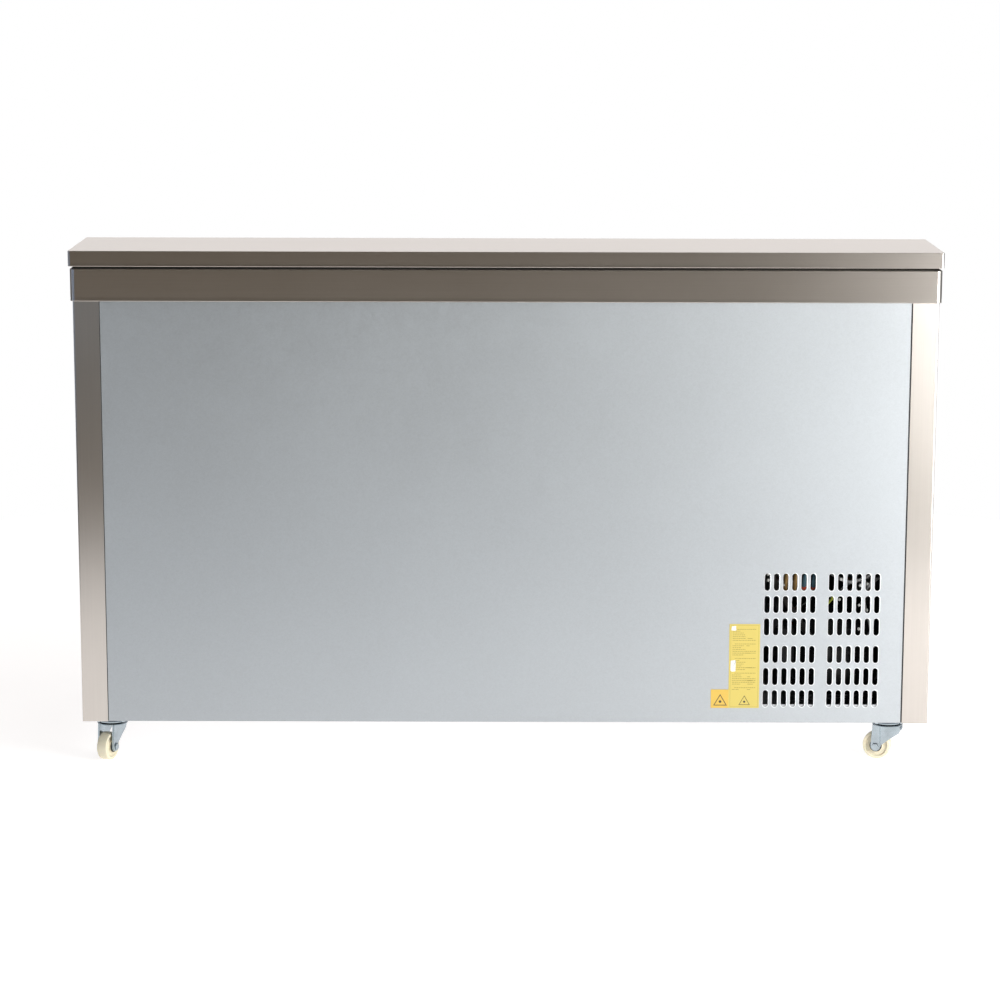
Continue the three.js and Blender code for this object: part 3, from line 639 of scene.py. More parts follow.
def edge_loop(x0, x1, y0, y1, radius, inward, height, steps=4):
    """One closed loop round a rounded rectangle, moved inwards, at a height that depends on y."""
    reach = max(radius - inward, 0.0)
    back = max(radius, inward)
    points = []
    for cx, cy, sx, sy, start in ((x1, y0, 1, -1, -90), (x1, y1, 1, 1, 0), (x0, y1, -1, 1, 90),
                                  (x0, y0, -1, -1, 180)):
        arc = []
        for i in range(steps + 1):
            angle = math.radians(start + 90 * i / steps)
            arc.append((cx - sx * back + reach * math.cos(angle),
                        cy - sy * back + reach * math.sin(angle)))
        if y0 < HINGE_Y < y1 and (sx, sy) == (1, 1):
            points.append((x1 - inward, HINGE_Y))
        points += arc
        if y0 < HINGE_Y < y1 and (sx, sy) == (-1, 1):
            points.append((x0 + inward, HINGE_Y))
    return [(x, y, height(y)) for x, y in points]


def rim(shape, area, radius, profile, ends="caps", steps=4):
    """Loops round an area (x0, x1, y0, y1); the profile lists (inward, depth below the top surface)."""
    rings = [edge_loop(*area, radius, inward, lambda y, d=depth: top_at(y, d), steps)
             for inward, depth in profile]
    return shape.loft(rings, None, ends)


def quarter(centre_in, centre_down, radius, start, end, steps=4):
    """Part of a circle in profile terms; 0 degrees points outwards, 90 up."""
    points = []
    for i in range(steps + 1):
        angle = math.radians(start + (end - start) * i / steps)
        points.append((centre_in - radius * math.cos(angle), centre_down - radius * math.sin(angle)))
    return points


def hem_loop(hem, bottom):
    """The rolled lower edge of a folded sheet, in profile terms."""
    return quarter(hem, bottom - hem, hem, 0, -180, 6)[::-1]


# --- Outer cabinet ------------------------------------------------------------------------


def make_deck():
    """The fixed top: a folded pan with soft edges and a hem along the bottom of its skirt."""
    shape = Shape()
    wall = 1.5
    hem = 1.3
    bend = 1.0
    profile = [(bend + 1, wall), (wall, wall + 1), (wall, BAND - 9), (2 * hem, BAND - 8)]
    profile += hem_loop(hem, BAND)
    profile += [(0.45, BAND - 7.5), (0.45, BAND - 6), (0.0, BAND - 5)]
    profile += quarter(bend, bend, bend, 0, 90, 4)
    profile += [(40.0, 0.0)]
    area = (-HALF_WIDTH, HALF_WIDTH, 90, HALF_DEPTH)
    rim(shape, area, 4, profile)
    stand_in("rear_deck_sheet", shape, STEEL_LONG, "rear_deck")

    seal = Shape()
    rim(seal, (-HALF_WIDTH + 7, HALF_WIDTH - 7, 112, HALF_DEPTH - 7), 4,
        [(0, BAND + 0.2), (0, COLLAR_TOP - 0.2), (8, COLLAR_TOP - 0.2), (8, BAND + 0.2)], "hoop")
    add_piece("deck_seal", seal, DARK_FOAM, "rear_deck")


def make_collar():
    """The band under the top: rounded corners, hemmed bottom edge and a flange turned in at the top."""
    shape = Shape()
    wall = 1.5
    hem = 1.3
    bend = 1.6
    bottom = COLLAR_BOTTOM
    profile = quarter(bend, COLLAR_TOP + bend, bend, 0, 90, 4)
    profile += [(26.0, COLLAR_TOP), (26.0, COLLAR_TOP + wall), (wall + 1, COLLAR_TOP + wall)]
    profile += [(wall, COLLAR_TOP + wall + 1), (wall, bottom - 10), (2 * hem, bottom - 9)]
    profile += hem_loop(hem, bottom)
    profile += [(0.35, bottom - 8), (0.0, bottom - 7)]
    area = (-HALF_WIDTH + 2, HALF_WIDTH - 2, -HALF_DEPTH + 2, HALF_DEPTH - 2)
    rim(shape, area, 9, profile, "hoop", 6)
    stand_in("collar_band", shape, STEEL_LONG, "collar")


def folded_outline(route, thickness, radius):
    """The closed outline of a sheet with rounded bends, which lies to the left of its route."""
    steps = 4
    outer = [route[0]]
    for before, here, after in zip(route, route[1:], route[2:]):
        before, here, after = Vector(before), Vector(here), Vector(after)
        towards = (before - here).normalized()
        away = (after - here).normalized()
        start = here + towards * radius
        for i in range(steps + 1):
            t = i / steps
            bent = start * (1 - t) ** 2 + here * 2 * t * (1 - t) + (here + away * radius) * t * t
            outer.append(tuple(bent))
    outer.append(route[-1])
    inner = []
    for i, here in enumerate(outer):
        back = Vector(outer[max(i - 1, 0)])
        ahead = Vector(outer[min(i + 1, len(outer) - 1)])
        along = (ahead - back).normalized()
        inner.append((here[0] - along.y * thickness, here[1] + along.x * thickness))
    return outer + inner[::-1]


def make_side_panel(name, side):
    """Side sheet wrapped round the back and front corners."""
    kink = (BODY_X, HINGE_Y)
    route = [(721, -BODY_Y), (BODY_X, -BODY_Y), kink, (BODY_X, BODY_Y), (699, BODY_Y)]
    outline = []
    for part in (route[:3], route[2:]):
        outline.append(folded_outline(part, SHEET, 3.2))
    half = len(outline[0]) // 2
    outline = outline[0][:half] + outline[1][1:-1] + outline[0][half:]
    if side < 0:
        outline = [(-x, y) for x, y in outline][::-1]
    edge = 0.35
    shape = Shape()
    rings = []
    for back, z in ((edge, 0.0), (0.1, 0.1), (0.0, edge)):
        rings.append([(x, y, BODY_BOTTOM + z) for x, y in inset(outline, back)])
    rings.append([(x, y, top_at(y, COLLAR_BOTTOM - 17)) for x, y in outline])
    shape.loft(rings, None, "strips")
    stand_in(name + "_sheet", shape, STEEL_UPRIGHT, name)


VENT_X = -554
VENT_PITCH = 16
VENT_ROWS = (329.5, 289.5, 249.5, 200, 160, 120)


def vent_slots(width, height):
    return [slot_outline(VENT_X + column * VENT_PITCH, z, width, height)
            for z in VENT_ROWS for column in range(-6, 7) if column]


def make_rear_panel():
    """Flat galvanised back with pressed slots, each with a softly turned edge."""
    outer = BODY_Y - SHEET - 0.3
    width = BODY_X - SHEET - 3.4
    outline = rounded_rect(-width, width, BODY_BOTTOM + 1, HEIGHT - COLLAR_BOTTOM + 12, 0.8, 2)
    holes = [[(-x, z) for x, z in slot][::-1] for slot in vent_slots(10.0, 31.6)]
    place = metres(facing("+y", y=outer - SHEET / 2))
    stand_in("rear_panel_sheet", plate(outline, holes, SHEET, 0.35, place), GALVANISED, "rear_panel", 15)
    rims = Shape()
    for slot, hole in zip(vent_slots(11.8, 33.4), vent_slots(9.2, 30.8)):
        rings = []
        for share, y in ((0.0, outer - 0.02), (0.35, outer + 0.22), (0.7, outer + 0.22),
                         (1.0, outer - 0.3), (1.0, outer - 1.5), (0.6, outer - 1.5), (0.6, outer - 0.6)):
            rings.append([(x, y, z) for x, z in blended(slot, hole, share)])
        rims.loft(rings, None, "hoop")
    # The rims carry a painted highlight: a colour much lighter than the sheet around them.
    add_piece("vent_slot_rims", rims, SLOT_RIM_HIGHLIGHT, "rear_panel")
    # A dark bead in each joint between the back and the corner posts: sealant, and painted shade for the
    # shadow in the gap.
    shadow_strips = Shape()
    for x0, x1 in ((-699, -696.6), (697.8, 699)):
        box(shadow_strips, x0, x1, outer - 0.4, outer + 0.5, BODY_BOTTOM + 1.5, HEIGHT - COLLAR_BOTTOM - 0.4,
            0.2, 0.3)
    add_piece("panel_joint_painted_shadow", shadow_strips, RUBBER, "rear_panel")


def make_front_panel():
    outer = -BODY_Y + SHEET + 0.3
    width = BODY_X - SHEET - 3.4
    outline = rounded_rect(-width, width, BODY_BOTTOM + 1, top_at(-BODY_Y, COLLAR_BOTTOM - 12), 0.8, 2)
    holes = [rounded_rect(-715, -475, low, high, 2.5) for low, high in ((100, 270), (286, 350))]
    place = metres(facing("-y", y=outer + SHEET / 2))
    stand_in("front_panel_sheet", plate(outline, holes, SHEET, 0.35, place), STEEL_LONG, "front_panel",
             15)


def make_machine_lining():
    """Dark sheet inside the machinery space, over the foam and beside the front opening."""
    shape = Shape()
    box(shape, -441.6, -440.6, -316, 316, 80, 359, 0.3)
    box(shape, -742, -441.8, -316, 316, 358.4, 359.4, 0.3)
    box(shape, -741.8, -718, -317.4, -316.6, 80, 357, 0.3)
    add_piece("machine_lining", shape, DARK_SHEET, "base_pan")


# --- Labels on the back -------------------------------------------------------------------


LABEL = (393, 447, 103, 254.5)
SQUARE = (362, 394.6, 103, 136.5)


def make_labels():
    """A tall yellow sticker of generic ruled rows with a small amber square beside it."""
    low = BODY_Y - SHEET - 0.3 + 0.15
    top = low + 0.35
    sticker = Shape()
    place = facing("+y", y=low)
    slab(sticker, rounded_rect(*LABEL, 0.8, 3), 0, 0.35, 0.1, place)
    stand_in("label_tall", sticker, YELLOW, "rear_label")
    square = Shape()
    slab(square, rounded_rect(*SQUARE, 0.8, 3), 0, 0.33, 0.1, place)
    add_piece("label_square", square, AMBER, "rear_label")

    face = facing("+y", y=top - 0.06)
    rows = Shape()
    rng = random.Random(11)
    z = 245.0
    rows_in_block = 0
    while z > 134:
        heading = rows_in_block == 0
        x = 399.0 if not heading else 403.0
        end = 440.0 if rng.random() < 0.3 or heading else 399.0 + rng.uniform(12, 24)
        while x < end:
            length = rng.uniform(1.6, 4.2)
            box(rows, x, min(x + length, end), z - 0.55, z + 0.55, 0, 0.1, 0.03, 0.1, face)
            x += length + 0.8
        if not heading and rng.random() < 0.45:
            start = 423.0 + rng.uniform(0, 3)
            box(rows, start, start + rng.uniform(5, 10), z - 0.55, z + 0.55, 0, 0.1, 0.03, 0.1, face)
        rows_in_block += 1
        z -= 3.3
        if rows_in_block > 6:
            rows_in_block = 0
            z -= 3.2
    frame_ring = rounded_rect(395.6, 444.6, 105, 252.4, 0.5, 2)
    inner_ring = rounded_rect(396.0, 444.2, 105.4, 252.0, 0.4, 2)
    rows.loft([[(x, y, h) for x, y in ring] for ring, h in
               ((frame_ring, 0), (frame_ring, 0.09), (inner_ring, 0.09), (inner_ring, 0))], face, "hoop")
    add_piece("label_rows", rows, OCHRE_INK, "rear_label")

    signs = Shape()
    for centre, across in ((378.6, 24.0), (421.0, 20.0)):
        height = across * 0.866
        foot = 107.5 if centre < 400 else 108.5
        outer = [(centre - across / 2, foot), (centre + across / 2, foot), (centre, foot + height)]
        inner = inset(outer, 1.3 if centre < 400 else 0.9)
        rings = [[(x, y, h) for x, y in ring] for ring, h in ((outer, 0), (outer, 0.1), (inner, 0.1),
                                                              (inner, 0))]
        signs.loft(rings, face, "hoop")
        middle = foot + height * 0.34
        slab(signs, circle(across * 0.1, 20, (centre, middle)), 0, 0.1, 0.02, face, 1)
    add_piece("label_signs", signs, INK, "rear_label")

    patches = Shape()
    for x0, x1, z0, z1 in ((396.6, 405.0, 242.5, 250.5), (396.8, 405.2, 169.5, 189.0)):
        outline = [(x + rng.uniform(-0.8, 0.8), y + rng.uniform(-0.8, 0.8))
                   for x, y in rounded_rect(x0, x1, z0, z1, 1.6, 3)]
        slab(patches, outline, 0, 0.12, 0.02, face, 1)
    add_piece("label_patches", patches, WHITE_PRINT, "rear_label")


# --- Cold space, lids and hinges ----------------------------------------------------------


def to_x(x=0.0, y=0.0, z=0.0):
    """Lays a shape built round Z along X."""
    return Matrix.Translation((x, y, z)) @ Matrix.Rotation(math.radians(90), 4, "Y")


def to_y(x=0.0, y=0.0, z=0.0):
    """Lays a shape built round Z along Y."""
    return Matrix.Translation((x, y, z)) @ Matrix.Rotation(math.radians(-90), 4, "X")


DRAIN = (600, -200)
# The cold space: half sizes, floor, the step over the machinery, and how far its mouth lies under the top.
TUB_X = 684.5
TUB_Y = 262.5
TUB_FLOOR = 141.5
STEP_X = -378.5
STEP_TOP = 421.5
MOUTH_DROP = 37.5
TUB_CORNER = 16
RAIL_Z = 690


def open_tub():
    """The inner faces of the cold space, a step over the machinery at one end, open at the top."""
    floor_line = [(-TUB_X, STEP_TOP), (STEP_X, STEP_TOP), (STEP_X, TUB_FLOOR), (TUB_X, TUB_FLOOR)]
    points = []
    for y in (-TUB_Y, TUB_Y):
        points += [(x, y, z) for x, z in floor_line]
        points += [(x, y, top_at(y, MOUTH_DROP)) for x in (TUB_X, -TUB_X)]
    points += [(x, HINGE_Y, top_at(HINGE_Y, MOUTH_DROP)) for x in (TUB_X, -TUB_X)]
    faces = [(0, 1, 2, 3, 4, 5), (11, 10, 9, 8, 7, 6)]
    faces += [(i, i + 6, i + 7, i + 1) for i in range(3)]
    faces += [(3, 9, 10, 12, 4), (6, 0, 5, 13, 11)]
    mesh = bpy.data.meshes.new("tub")
    mesh.from_pydata([Vector(point) * MM for point in points], [], faces)
    mesh.update()
    return mesh


def make_liner():
    """The plastic lining with rounded corners, a drilled drain, a basket rail and a nosing on the step."""
    mesh = open_tub()
    with editing(mesh) as bm:
        bmesh.ops.recalc_face_normals(bm, faces=bm.faces)
        front_face = bm.faces[0] if bm.faces[0].calc_center_median().y < 0 else bm.faces[1]
        if front_face.normal.y < 0:
            bmesh.ops.reverse_faces(bm, faces=bm.faces)
    tub = new_object("tub_shaper", mesh)
    round_edges(tub, "corners", TUB_CORNER, 5, 30)
    skin = tub.modifiers.new("skin", "SOLIDIFY")
    skin.thickness = 1.1 * MM
    skin.offset = -1.0
    drill_mesh = lathe(Shape(), [(0, 100), (13.5, 100), (13.5, 180), (0, 180)], 32,
                       upright(*DRAIN)).mesh("drill")
    drill = new_object("drill", drill_mesh)
    hole = tub.modifiers.new("hole", "BOOLEAN")
    hole.object = drill
    hole.operation = "DIFFERENCE"
    shell = evaluated_mesh(tub)
    bpy.data.objects.remove(drill)
    ledge = Shape()
    box(ledge, -683, 683, -263, -250, RAIL_Z - 14, RAIL_Z, 1.5, 1.5)
    outside = [(-18.5, 0.3), (-2.5, 0.3), (-0.7, -0.3), (0.3, -1.9), (0.3, -18.5)]
    inside = [(-1.1, -18.5), (-1.1, -2.1), (-1.5, -1.5), (-2.5, -1.1), (-18.5, -1.1)]
    ledge.loft([[(STEP_X + dx, y, STEP_TOP + dz) for dx, dz in outside + inside] for y in (-262, 262)],
               None, "strips")
    stand_in("tub_lining", join_meshes(shell, ledge.mesh("ledge")), LINER, "tub_liner")


def make_drain():
    """The spout under the floor and its rubber stopper."""
    x, y = DRAIN
    outlet = Shape()
    lathe(outlet, [(10, 64.2), (13.2, 64), (14, 64.8), (14, TUB_FLOOR + 0.4), (20.5, TUB_FLOOR + 0.5),
                   (22, TUB_FLOOR + 1), (21, TUB_FLOOR + 1.9), (12, TUB_FLOOR + 1.6),
                   (10, TUB_FLOOR + 0.4), (10, 64.2)], 40, upright(x, y))
    for turn in (0, 60, 120, 180, 240, 300):
        box(outlet, 13.6, 14.6, -1, 1, 66, 96, 0.3, 0.3, upright(x, y, 0, turn))
    stand_in("drain_spout", outlet, GREY_TRIM, "drain_outlet")
    plug = Shape()
    base = TUB_FLOOR
    lathe(plug, [(0, base - 17.8), (8, base - 17.4), (9.2, base - 16), (9.4, base - 8), (9.0, base - 6),
                 (9.5, base - 4), (9.6, base + 2.2), (15.5, base + 2.4), (17, base + 3.4),
                 (16.4, base + 5), (10, base + 5.9), (0, base + 6)], 36, upright(x, y))
    box(plug, -11, 11, -2, 2, base + 4.5, base + 18, 1.6, 1.9, upright(x, y))
    stand_in("drain_stopper", plug, RUBBER, "drain_plug")


def make_breaker_frame():
    """The frame round the mouth with a sealing bead beside it, and the foam and pan under them."""
    refined("breaker_frame", GREY_TRIM, 1.4, 3)
    bead = Shape()
    profile = [(0, 35), (0, 33), (0.4, 32.7), (4.4, 32.7), (4.7, 33), (4.7, 35)]
    rim(bead, (-721.8, 721.8, -304.8, 103), 3, profile, "hoop")
    add_piece("breaker_bead", bead, RUBBER, "breaker_frame")
    refined("insulation", FOAM, 0.8, 1)
    refined("base_pan", GALVANISED_DULL, 0.35, 2)


def make_hinge(name, x0, x1):
    """A long butt hinge: seven-millimetre knuckles, a pin, and a leaf on each side."""
    knuckles = 9
    pitch = (x1 - x0) / knuckles
    for kind, first, leaf in (("deck", 0, (88.2, 89.7)), ("lid", 1, (79.8, 81.0))):
        shape = Shape()
        box(shape, x0, x1, leaf[0], leaf[1], HINGE_Z - 20, HINGE_Z - 4.4, 0.4, 0.5)
        for i in range(first, knuckles, 2):
            start = x0 + i * pitch + 0.4
            length = pitch - 0.8
            bore = 1.6 if kind == "deck" else 2.1
            lathe(shape, [(bore, 0), (3.1, 0), (3.5, 0.5), (3.5, length - 0.5), (3.1, length),
                          (bore, length), (bore, 0)], 20, to_x(start, HINGE_Y, HINGE_Z))
            reach = (HINGE_Y + 2.6, leaf[1]) if kind == "deck" else (leaf[0], HINGE_Y - 2.6)
            box(shape, start, start + length, reach[0], reach[1], HINGE_Z - 5.5, HINGE_Z + 1, 0.4, 0.4)
        if kind == "deck":
            lathe(shape, [(0, 0), (1.2, 0), (1.6, 0.5), (1.6, x1 - x0 - 0.5), (1.2, x1 - x0),
                          (0, x1 - x0)], 14,
                  to_x(x0, HINGE_Y, HINGE_Z))
        node = kind + "_hinge_" + name
        stand_in(node + "_leaf", shape, POLISHED, node)


HANDLE_Y = -306


def make_lid(name, side):
    """A folded lid with its moulded lining, bulb gasket and bar handle."""
    inner, outer = (2, 750) if side > 0 else (-750, -2)
    area = (inner, outer, -HALF_DEPTH, LID_REAR)
    wall, hem, bend = 1.5, 1.3, 2.2
    shell = Shape()
    profile = [(bend + 1, wall), (wall, wall + 1.2), (wall, BAND - 9), (2 * hem, BAND - 8)]
    profile += hem_loop(hem, BAND)
    profile += [(0.35, BAND - 7.5), (0.0, BAND - 6)]
    profile += quarter(bend, bend, bend, 0, 90, 4)
    rim(shell, area, 3, profile)
    stand_in("lid_shell_" + name + "_sheet", shell, STEEL_LONG, "lid_shell_" + name)

    lining = Shape()
    rim(lining, (inner + 1.8, outer - 1.8, -HALF_DEPTH + 1.8, LID_REAR - 1.8), 1.5,
        [(0, 1.9), (0, 23), (1, 24)])
    plug = (26, 677, -248, 58) if side > 0 else (-677, -26, -248, 58)
    rim(lining, plug, 14, [(0, 22), (0, 32), (0.6, 35), (2, 37), (4.5, 38), (22, 38), (25, 37.2),
                           (27, 35.5)])
    node = "lid_liner_" + name
    stand_in(node + "_moulding", lining, LINER, node)

    gasket = Shape()
    seal = (7, 715, -298, 76) if side > 0 else (-715, -7, -298, 76)
    rim(gasket, seal, 9, [(0, 24.3), (0.2, 25.6), (2, 26.2), (0.9, 27.6), (0.9, 29.6), (2.4, 31),
                          (6, 31.2), (9.6, 31), (11.1, 29.6), (11.1, 27.6), (10, 26.2), (11.8, 25.6),
                          (12, 24.3)], "hoop")
    node = "lid_gasket_" + name
    stand_in(node + "_seal", gasket, RUBBER, node)

    middle = (inner + outer) / 2
    rise = top_at(HANDLE_Y)
    handle = Shape()
    route = [(-110, 0.5), (-109.5, 12), (-106, 24), (-97, 31.5), (-84, 34), (0, 34),
             (84, 34), (97, 31.5), (106, 24), (109.5, 12), (110, 0.5)]
    tube(handle, [(middle + dx, HANDLE_Y, rise + dz) for dx, dz in route], 6, 20, 3.0)
    for dx in (-110, 110):
        foot = (middle + dx - 14, middle + dx + 14, HANDLE_Y - 12, HANDLE_Y + 12)
        rim(handle, foot, 6, [(0, -0.3), (0, -2.8), (0.4, -3.6), (1.4, -4.0)])
        lathe(handle, [(0, 0), (8.4, 0), (8.6, 1.2), (7.6, 2.4), (6.4, 3), (0, 3)], 28,
              upright(middle + dx, HANDLE_Y, rise + 3.6))
        for screw in (-10, 10):
            lathe(handle, [(0, 0), (3, 0), (2.8, 0.9), (1.6, 1.5), (0, 1.7)], 18,
                  upright(middle + dx + screw, HANDLE_Y, rise + 3.9))
    node = "lid_handle_" + name
    stand_in(node + "_bar", handle, POLISHED, node)


COLD_FAN = (420, 582)


def make_evaporator_cover():
    """Aluminium cover with a fan opening behind a wire guard and two rows of air slots."""
    outline = rounded_rect(-684, 684, 470, 870, 2, 2)
    hole = circle(78, 64, COLD_FAN)
    slots = []
    for i in range(9):
        x = -600 + i * 95
        slots += [rounded_rect(x - 30, x + 30, z, z + 12, 5.9, 5) for z in (735, 765)]
    turned = [[(-x, z) for x, z in ring][::-1] for ring in [outline, hole, *slots]]
    sheet = plate(turned[0], turned[1:], 1.5, 0.3, metres(facing("+y", y=100.75)))
    extra = Shape()
    box(extra, -684, 684, 100.2, 262, 470, 471.5, 0.3)
    box(extra, -684, 684, 88, 100.4, RAIL_Z - 14, RAIL_Z, 1.2, 1.2)
    lathe(extra, [(78, -2), (79, -3.5), (83, -3.5), (84.5, 0), (78, 0), (78, -2)], 64,
          to_y(COLD_FAN[0], 100.2, COLD_FAN[1]))
    stand_in("evaporator_casing", join_meshes(sheet, extra.mesh("casing")), ALUMINIUM,
             "evaporator_cover")
    guard = Shape()
    for radius in (18, 28, 38, 48, 58, 68, 79):
        hoop = [(x, 97.2, z) for x, z in circle(radius, 48, COLD_FAN)]
        wire_hoop(guard, hoop, 0.9)
    for turn in range(0, 180, 45):
        angle = math.radians(turn + 22.5)
        dx, dz = 81 * math.cos(angle), 81 * math.sin(angle)
        tube(guard, [(COLD_FAN[0] - dx, 95.6, COLD_FAN[1] - dz),
                     (COLD_FAN[0] + dx, 95.6, COLD_FAN[1] + dz)], 1.1, 8,
             bends=False)
    add_piece("fan_guard", guard, POLISHED, "evaporator_cover")


def wire_hoop(shape, route, radius, sides=6):
    """A closed wire through the given points, which lie in one plane."""
    points = [Vector(point) for point in route]
    normal = (points[1] - points[0]).cross(points[2] - points[1]).normalized()
    rings = []
    for i, here in enumerate(points):
        ahead = (points[(i + 1) % len(points)] - points[i - 1]).normalized()
        side = ahead.cross(normal)
        rings.append(ring_round(here, side, normal, radius, sides))
    return shape.loft(rings, None, "hoop")


def finned_block(shape, x0, x1, y0, y1, z0, z1, pitch, depth_rows, height_rows, tube_radius):
    """Thin upright fins strung on rows of tubes."""
    count = int((x1 - x0) / pitch)
    for i in range(count + 1):
        x = x0 + (x1 - x0) * i / count
        points = [(x + dx, y, z) for dx in (-0.12, 0.12) for y, z in ((y0, z0), (y1, z0), (y1, z1),
                                                                      (y0, z1))]
        shape.add(points, [(3, 2, 1, 0), (4, 5, 6, 7), (0, 1, 5, 4), (1, 2, 6, 5), (2, 3, 7, 6),
                           (3, 0, 4, 7)])
    tubes = Shape()
    for y in depth_rows:
        for z in height_rows:
            tube(tubes, [(x0 - 4, y, z), (x1 + 4, y, z)], tube_radius, 8, bends=False)
    return tubes


def return_bends(shape, x, out, y0, y1, heights, radius):
    for z in heights:
        route = [(x - out * 0.3, y0, z), (x + out * 0.35, y0, z),
                 (x + out * 0.85, y0 + (y1 - y0) * 0.2, z), (x + out, (y0 + y1) / 2, z),
                 (x + out * 0.85, y1 - (y1 - y0) * 0.2, z), (x + out * 0.35, y1, z),
                 (x - out * 0.3, y1, z)]
        tube(shape, route, radius, 10, 3)


def make_evaporator():
    coil = Shape()
    tubes = finned_block(coil, -540, 240, 152, 228, 562, 760, 6.0, (170, 210), (600, 661, 722), 4.5)
    for x in (-543, 240):
        box(coil, x, x + 3, 146, 262, 556, 766, 0.4)
    stand_in("evaporator_fins", coil, ALUMINIUM, "evaporator_coil")
    return_bends(tubes, -543, -20, 170, 210, (600, 661, 722), 4.5)
    return_bends(tubes, 243, 20, 170, 210, (600, 661, 722), 4.5)
    add_piece("evaporator_tubes", tubes, COPPER, "suction_pipe")
    refined("drip_tray", ALUMINIUM, 0.5, 2)


def fan_wheel(shape, x, y, z, radius, hub, depth, blades, tilt):
    """A hub with twisted blades whose tips are rounded, turning round a Y axis."""
    place = to_y(x, y, z)
    half = depth / 2
    lathe(shape, [(4.4, -half), (hub - 2, -half), (hub - 0.6, -half + 0.8), (hub, half - 3),
                  (hub - 1.2, half - 0.8), (hub - 3.5, half), (hub - 7, half), (hub - 8, half - 1.6),
                  (6.5, half - 1.6), (6, half), (4.4, half), (4.4, -half)], 40, place)
    steps, across = 7, 8
    for b in range(blades):
        rings = []
        for i in range(steps + 1):
            t = i / steps
            reach = hub - 2 + (radius - hub + 2) * t
            width = math.radians(19 + 7 * math.sin(math.pi * min(t * 1.1, 1.0)) - 5 * t ** 6)
            twist = math.radians(tilt * 1.7 - tilt * 0.9 * t)
            top, bottom = [], []
            for k in range(across + 1):
                s = -1 + 2 * k / across
                angle = width * s + 2 * math.pi * b / blades + 0.12 * t
                local = min(reach, radius) * (1 - 0.035 * s * s * t)
                lift = math.tan(twist) * reach * width * s * 0.55 - 1.3 * (1 - s * s) * t
                lift = max(-half + 1.2, min(half - 1.2, lift))
                thick = 0.85 * (1 - 0.6 * s * s)
                cx, cy = local * math.cos(angle), local * math.sin(angle)
                top.append((cx, cy, lift + thick))
                bottom.append((cx, cy, lift - thick))
            rings.append(bottom + top[::-1])
        shape.loft(rings, place)
    return shape


def make_cold_fan():
    x, z = COLD_FAN
    wheel = Shape()
    fan_wheel(wheel, x, 128, z, 73.5, 18, 23, 5, 16)
    stand_in("evaporator_fan_wheel", wheel, BLACK_PLASTIC, "evaporator_fan")
    refined("evaporator_motor", ENAMEL, 0.9, 2)


def make_basket(name, side):
    """White dipped wire basket with a thick rim, hung by its side wires on two rails."""
    x0, x1 = (-678, -378) if side < 0 else (378, 678)
    y0, y1 = -244, 82
    low, top = 545, 690.4
    shape = Shape()
    wire, frame_wire = 1.5, 2.4
    inner_x = (x0 + 8 + wire, x1 - 8 - wire)
    inner_y = (y0 + wire, y1 - wire)
    rim_loop = rounded_rect(x0 + 3, x1 - 3, y0 - 11, y1 + 11, 12, 5)
    wire_hoop(shape, [(x, y, top - 0.4 + frame_wire) for x, y in rim_loop], frame_wire, 8)
    for z in (low + 36, low + 84, low + 124):
        wire_hoop(shape, [(x, y, z) for x, y in rounded_rect(*inner_x, *inner_y, 10, 5)], wire)
    base = rounded_rect(inner_x[0] + 1, inner_x[1] - 1, inner_y[0] + 1, inner_y[1] - 1, 12, 5)
    wire_hoop(shape, [(x, y, low + 2.4) for x, y in base], frame_wire, 8)
    count = 13
    for i in range(1, count):
        x = x0 + 10 + (x1 - x0 - 20) * i / count
        loop = [(x, y0 - 11, top + 1), (x, y0 + 1.6, top - 3), (x, y0 + 1.6, low + 14),
                (x, y0 + 5, low + 4.5), (x, y0 + 16, low + 2.2), (x, (y0 + y1) / 2, low + 2.2),
                (x, y1 - 16, low + 2.2), (x, y1 - 5, low + 4.5), (x, y1 - 1.6, low + 14),
                (x, y1 - 1.6, top - 3), (x, y1 + 11, top + 1)]
        tube(shape, loop, wire, 6, 14)
    count = 14
    for i in range(1, count):
        y = y0 + (y1 - y0) * i / count
        loop = [(x0 + 4, y, top + 0.6), (x0 + 9.6, y, top - 4), (x0 + 9.6, y, low + 16),
                (x0 + 13, y, low + 6.5), (x0 + 24, y, low + 4.6), ((x0 + x1) / 2, y, low + 4.6),
                (x1 - 24, y, low + 4.6), (x1 - 13, y, low + 6.5), (x1 - 9.6, y, low + 16),
                (x1 - 9.6, y, top - 4), (x1 - 4, y, top + 0.6)]
        tube(shape, loop, wire, 6, 14)
    for x in (x0 + 3.5, x1 - 3.5):
        tube(shape, [(x, -60, top + 2), (x, -66, top + 14), (x, -80, top + 20), (x, -94, top + 14),
                     (x, -100, top + 2)], 2.2, 8, 4)
    node = "basket_" + name
    stand_in(node + "_wires", shape, COATING, node, 60)


# --- Machinery ----------------------------------------------------------------------------

HOT_FAN = (-595, 180)
COMPRESSOR = (-600, 150)


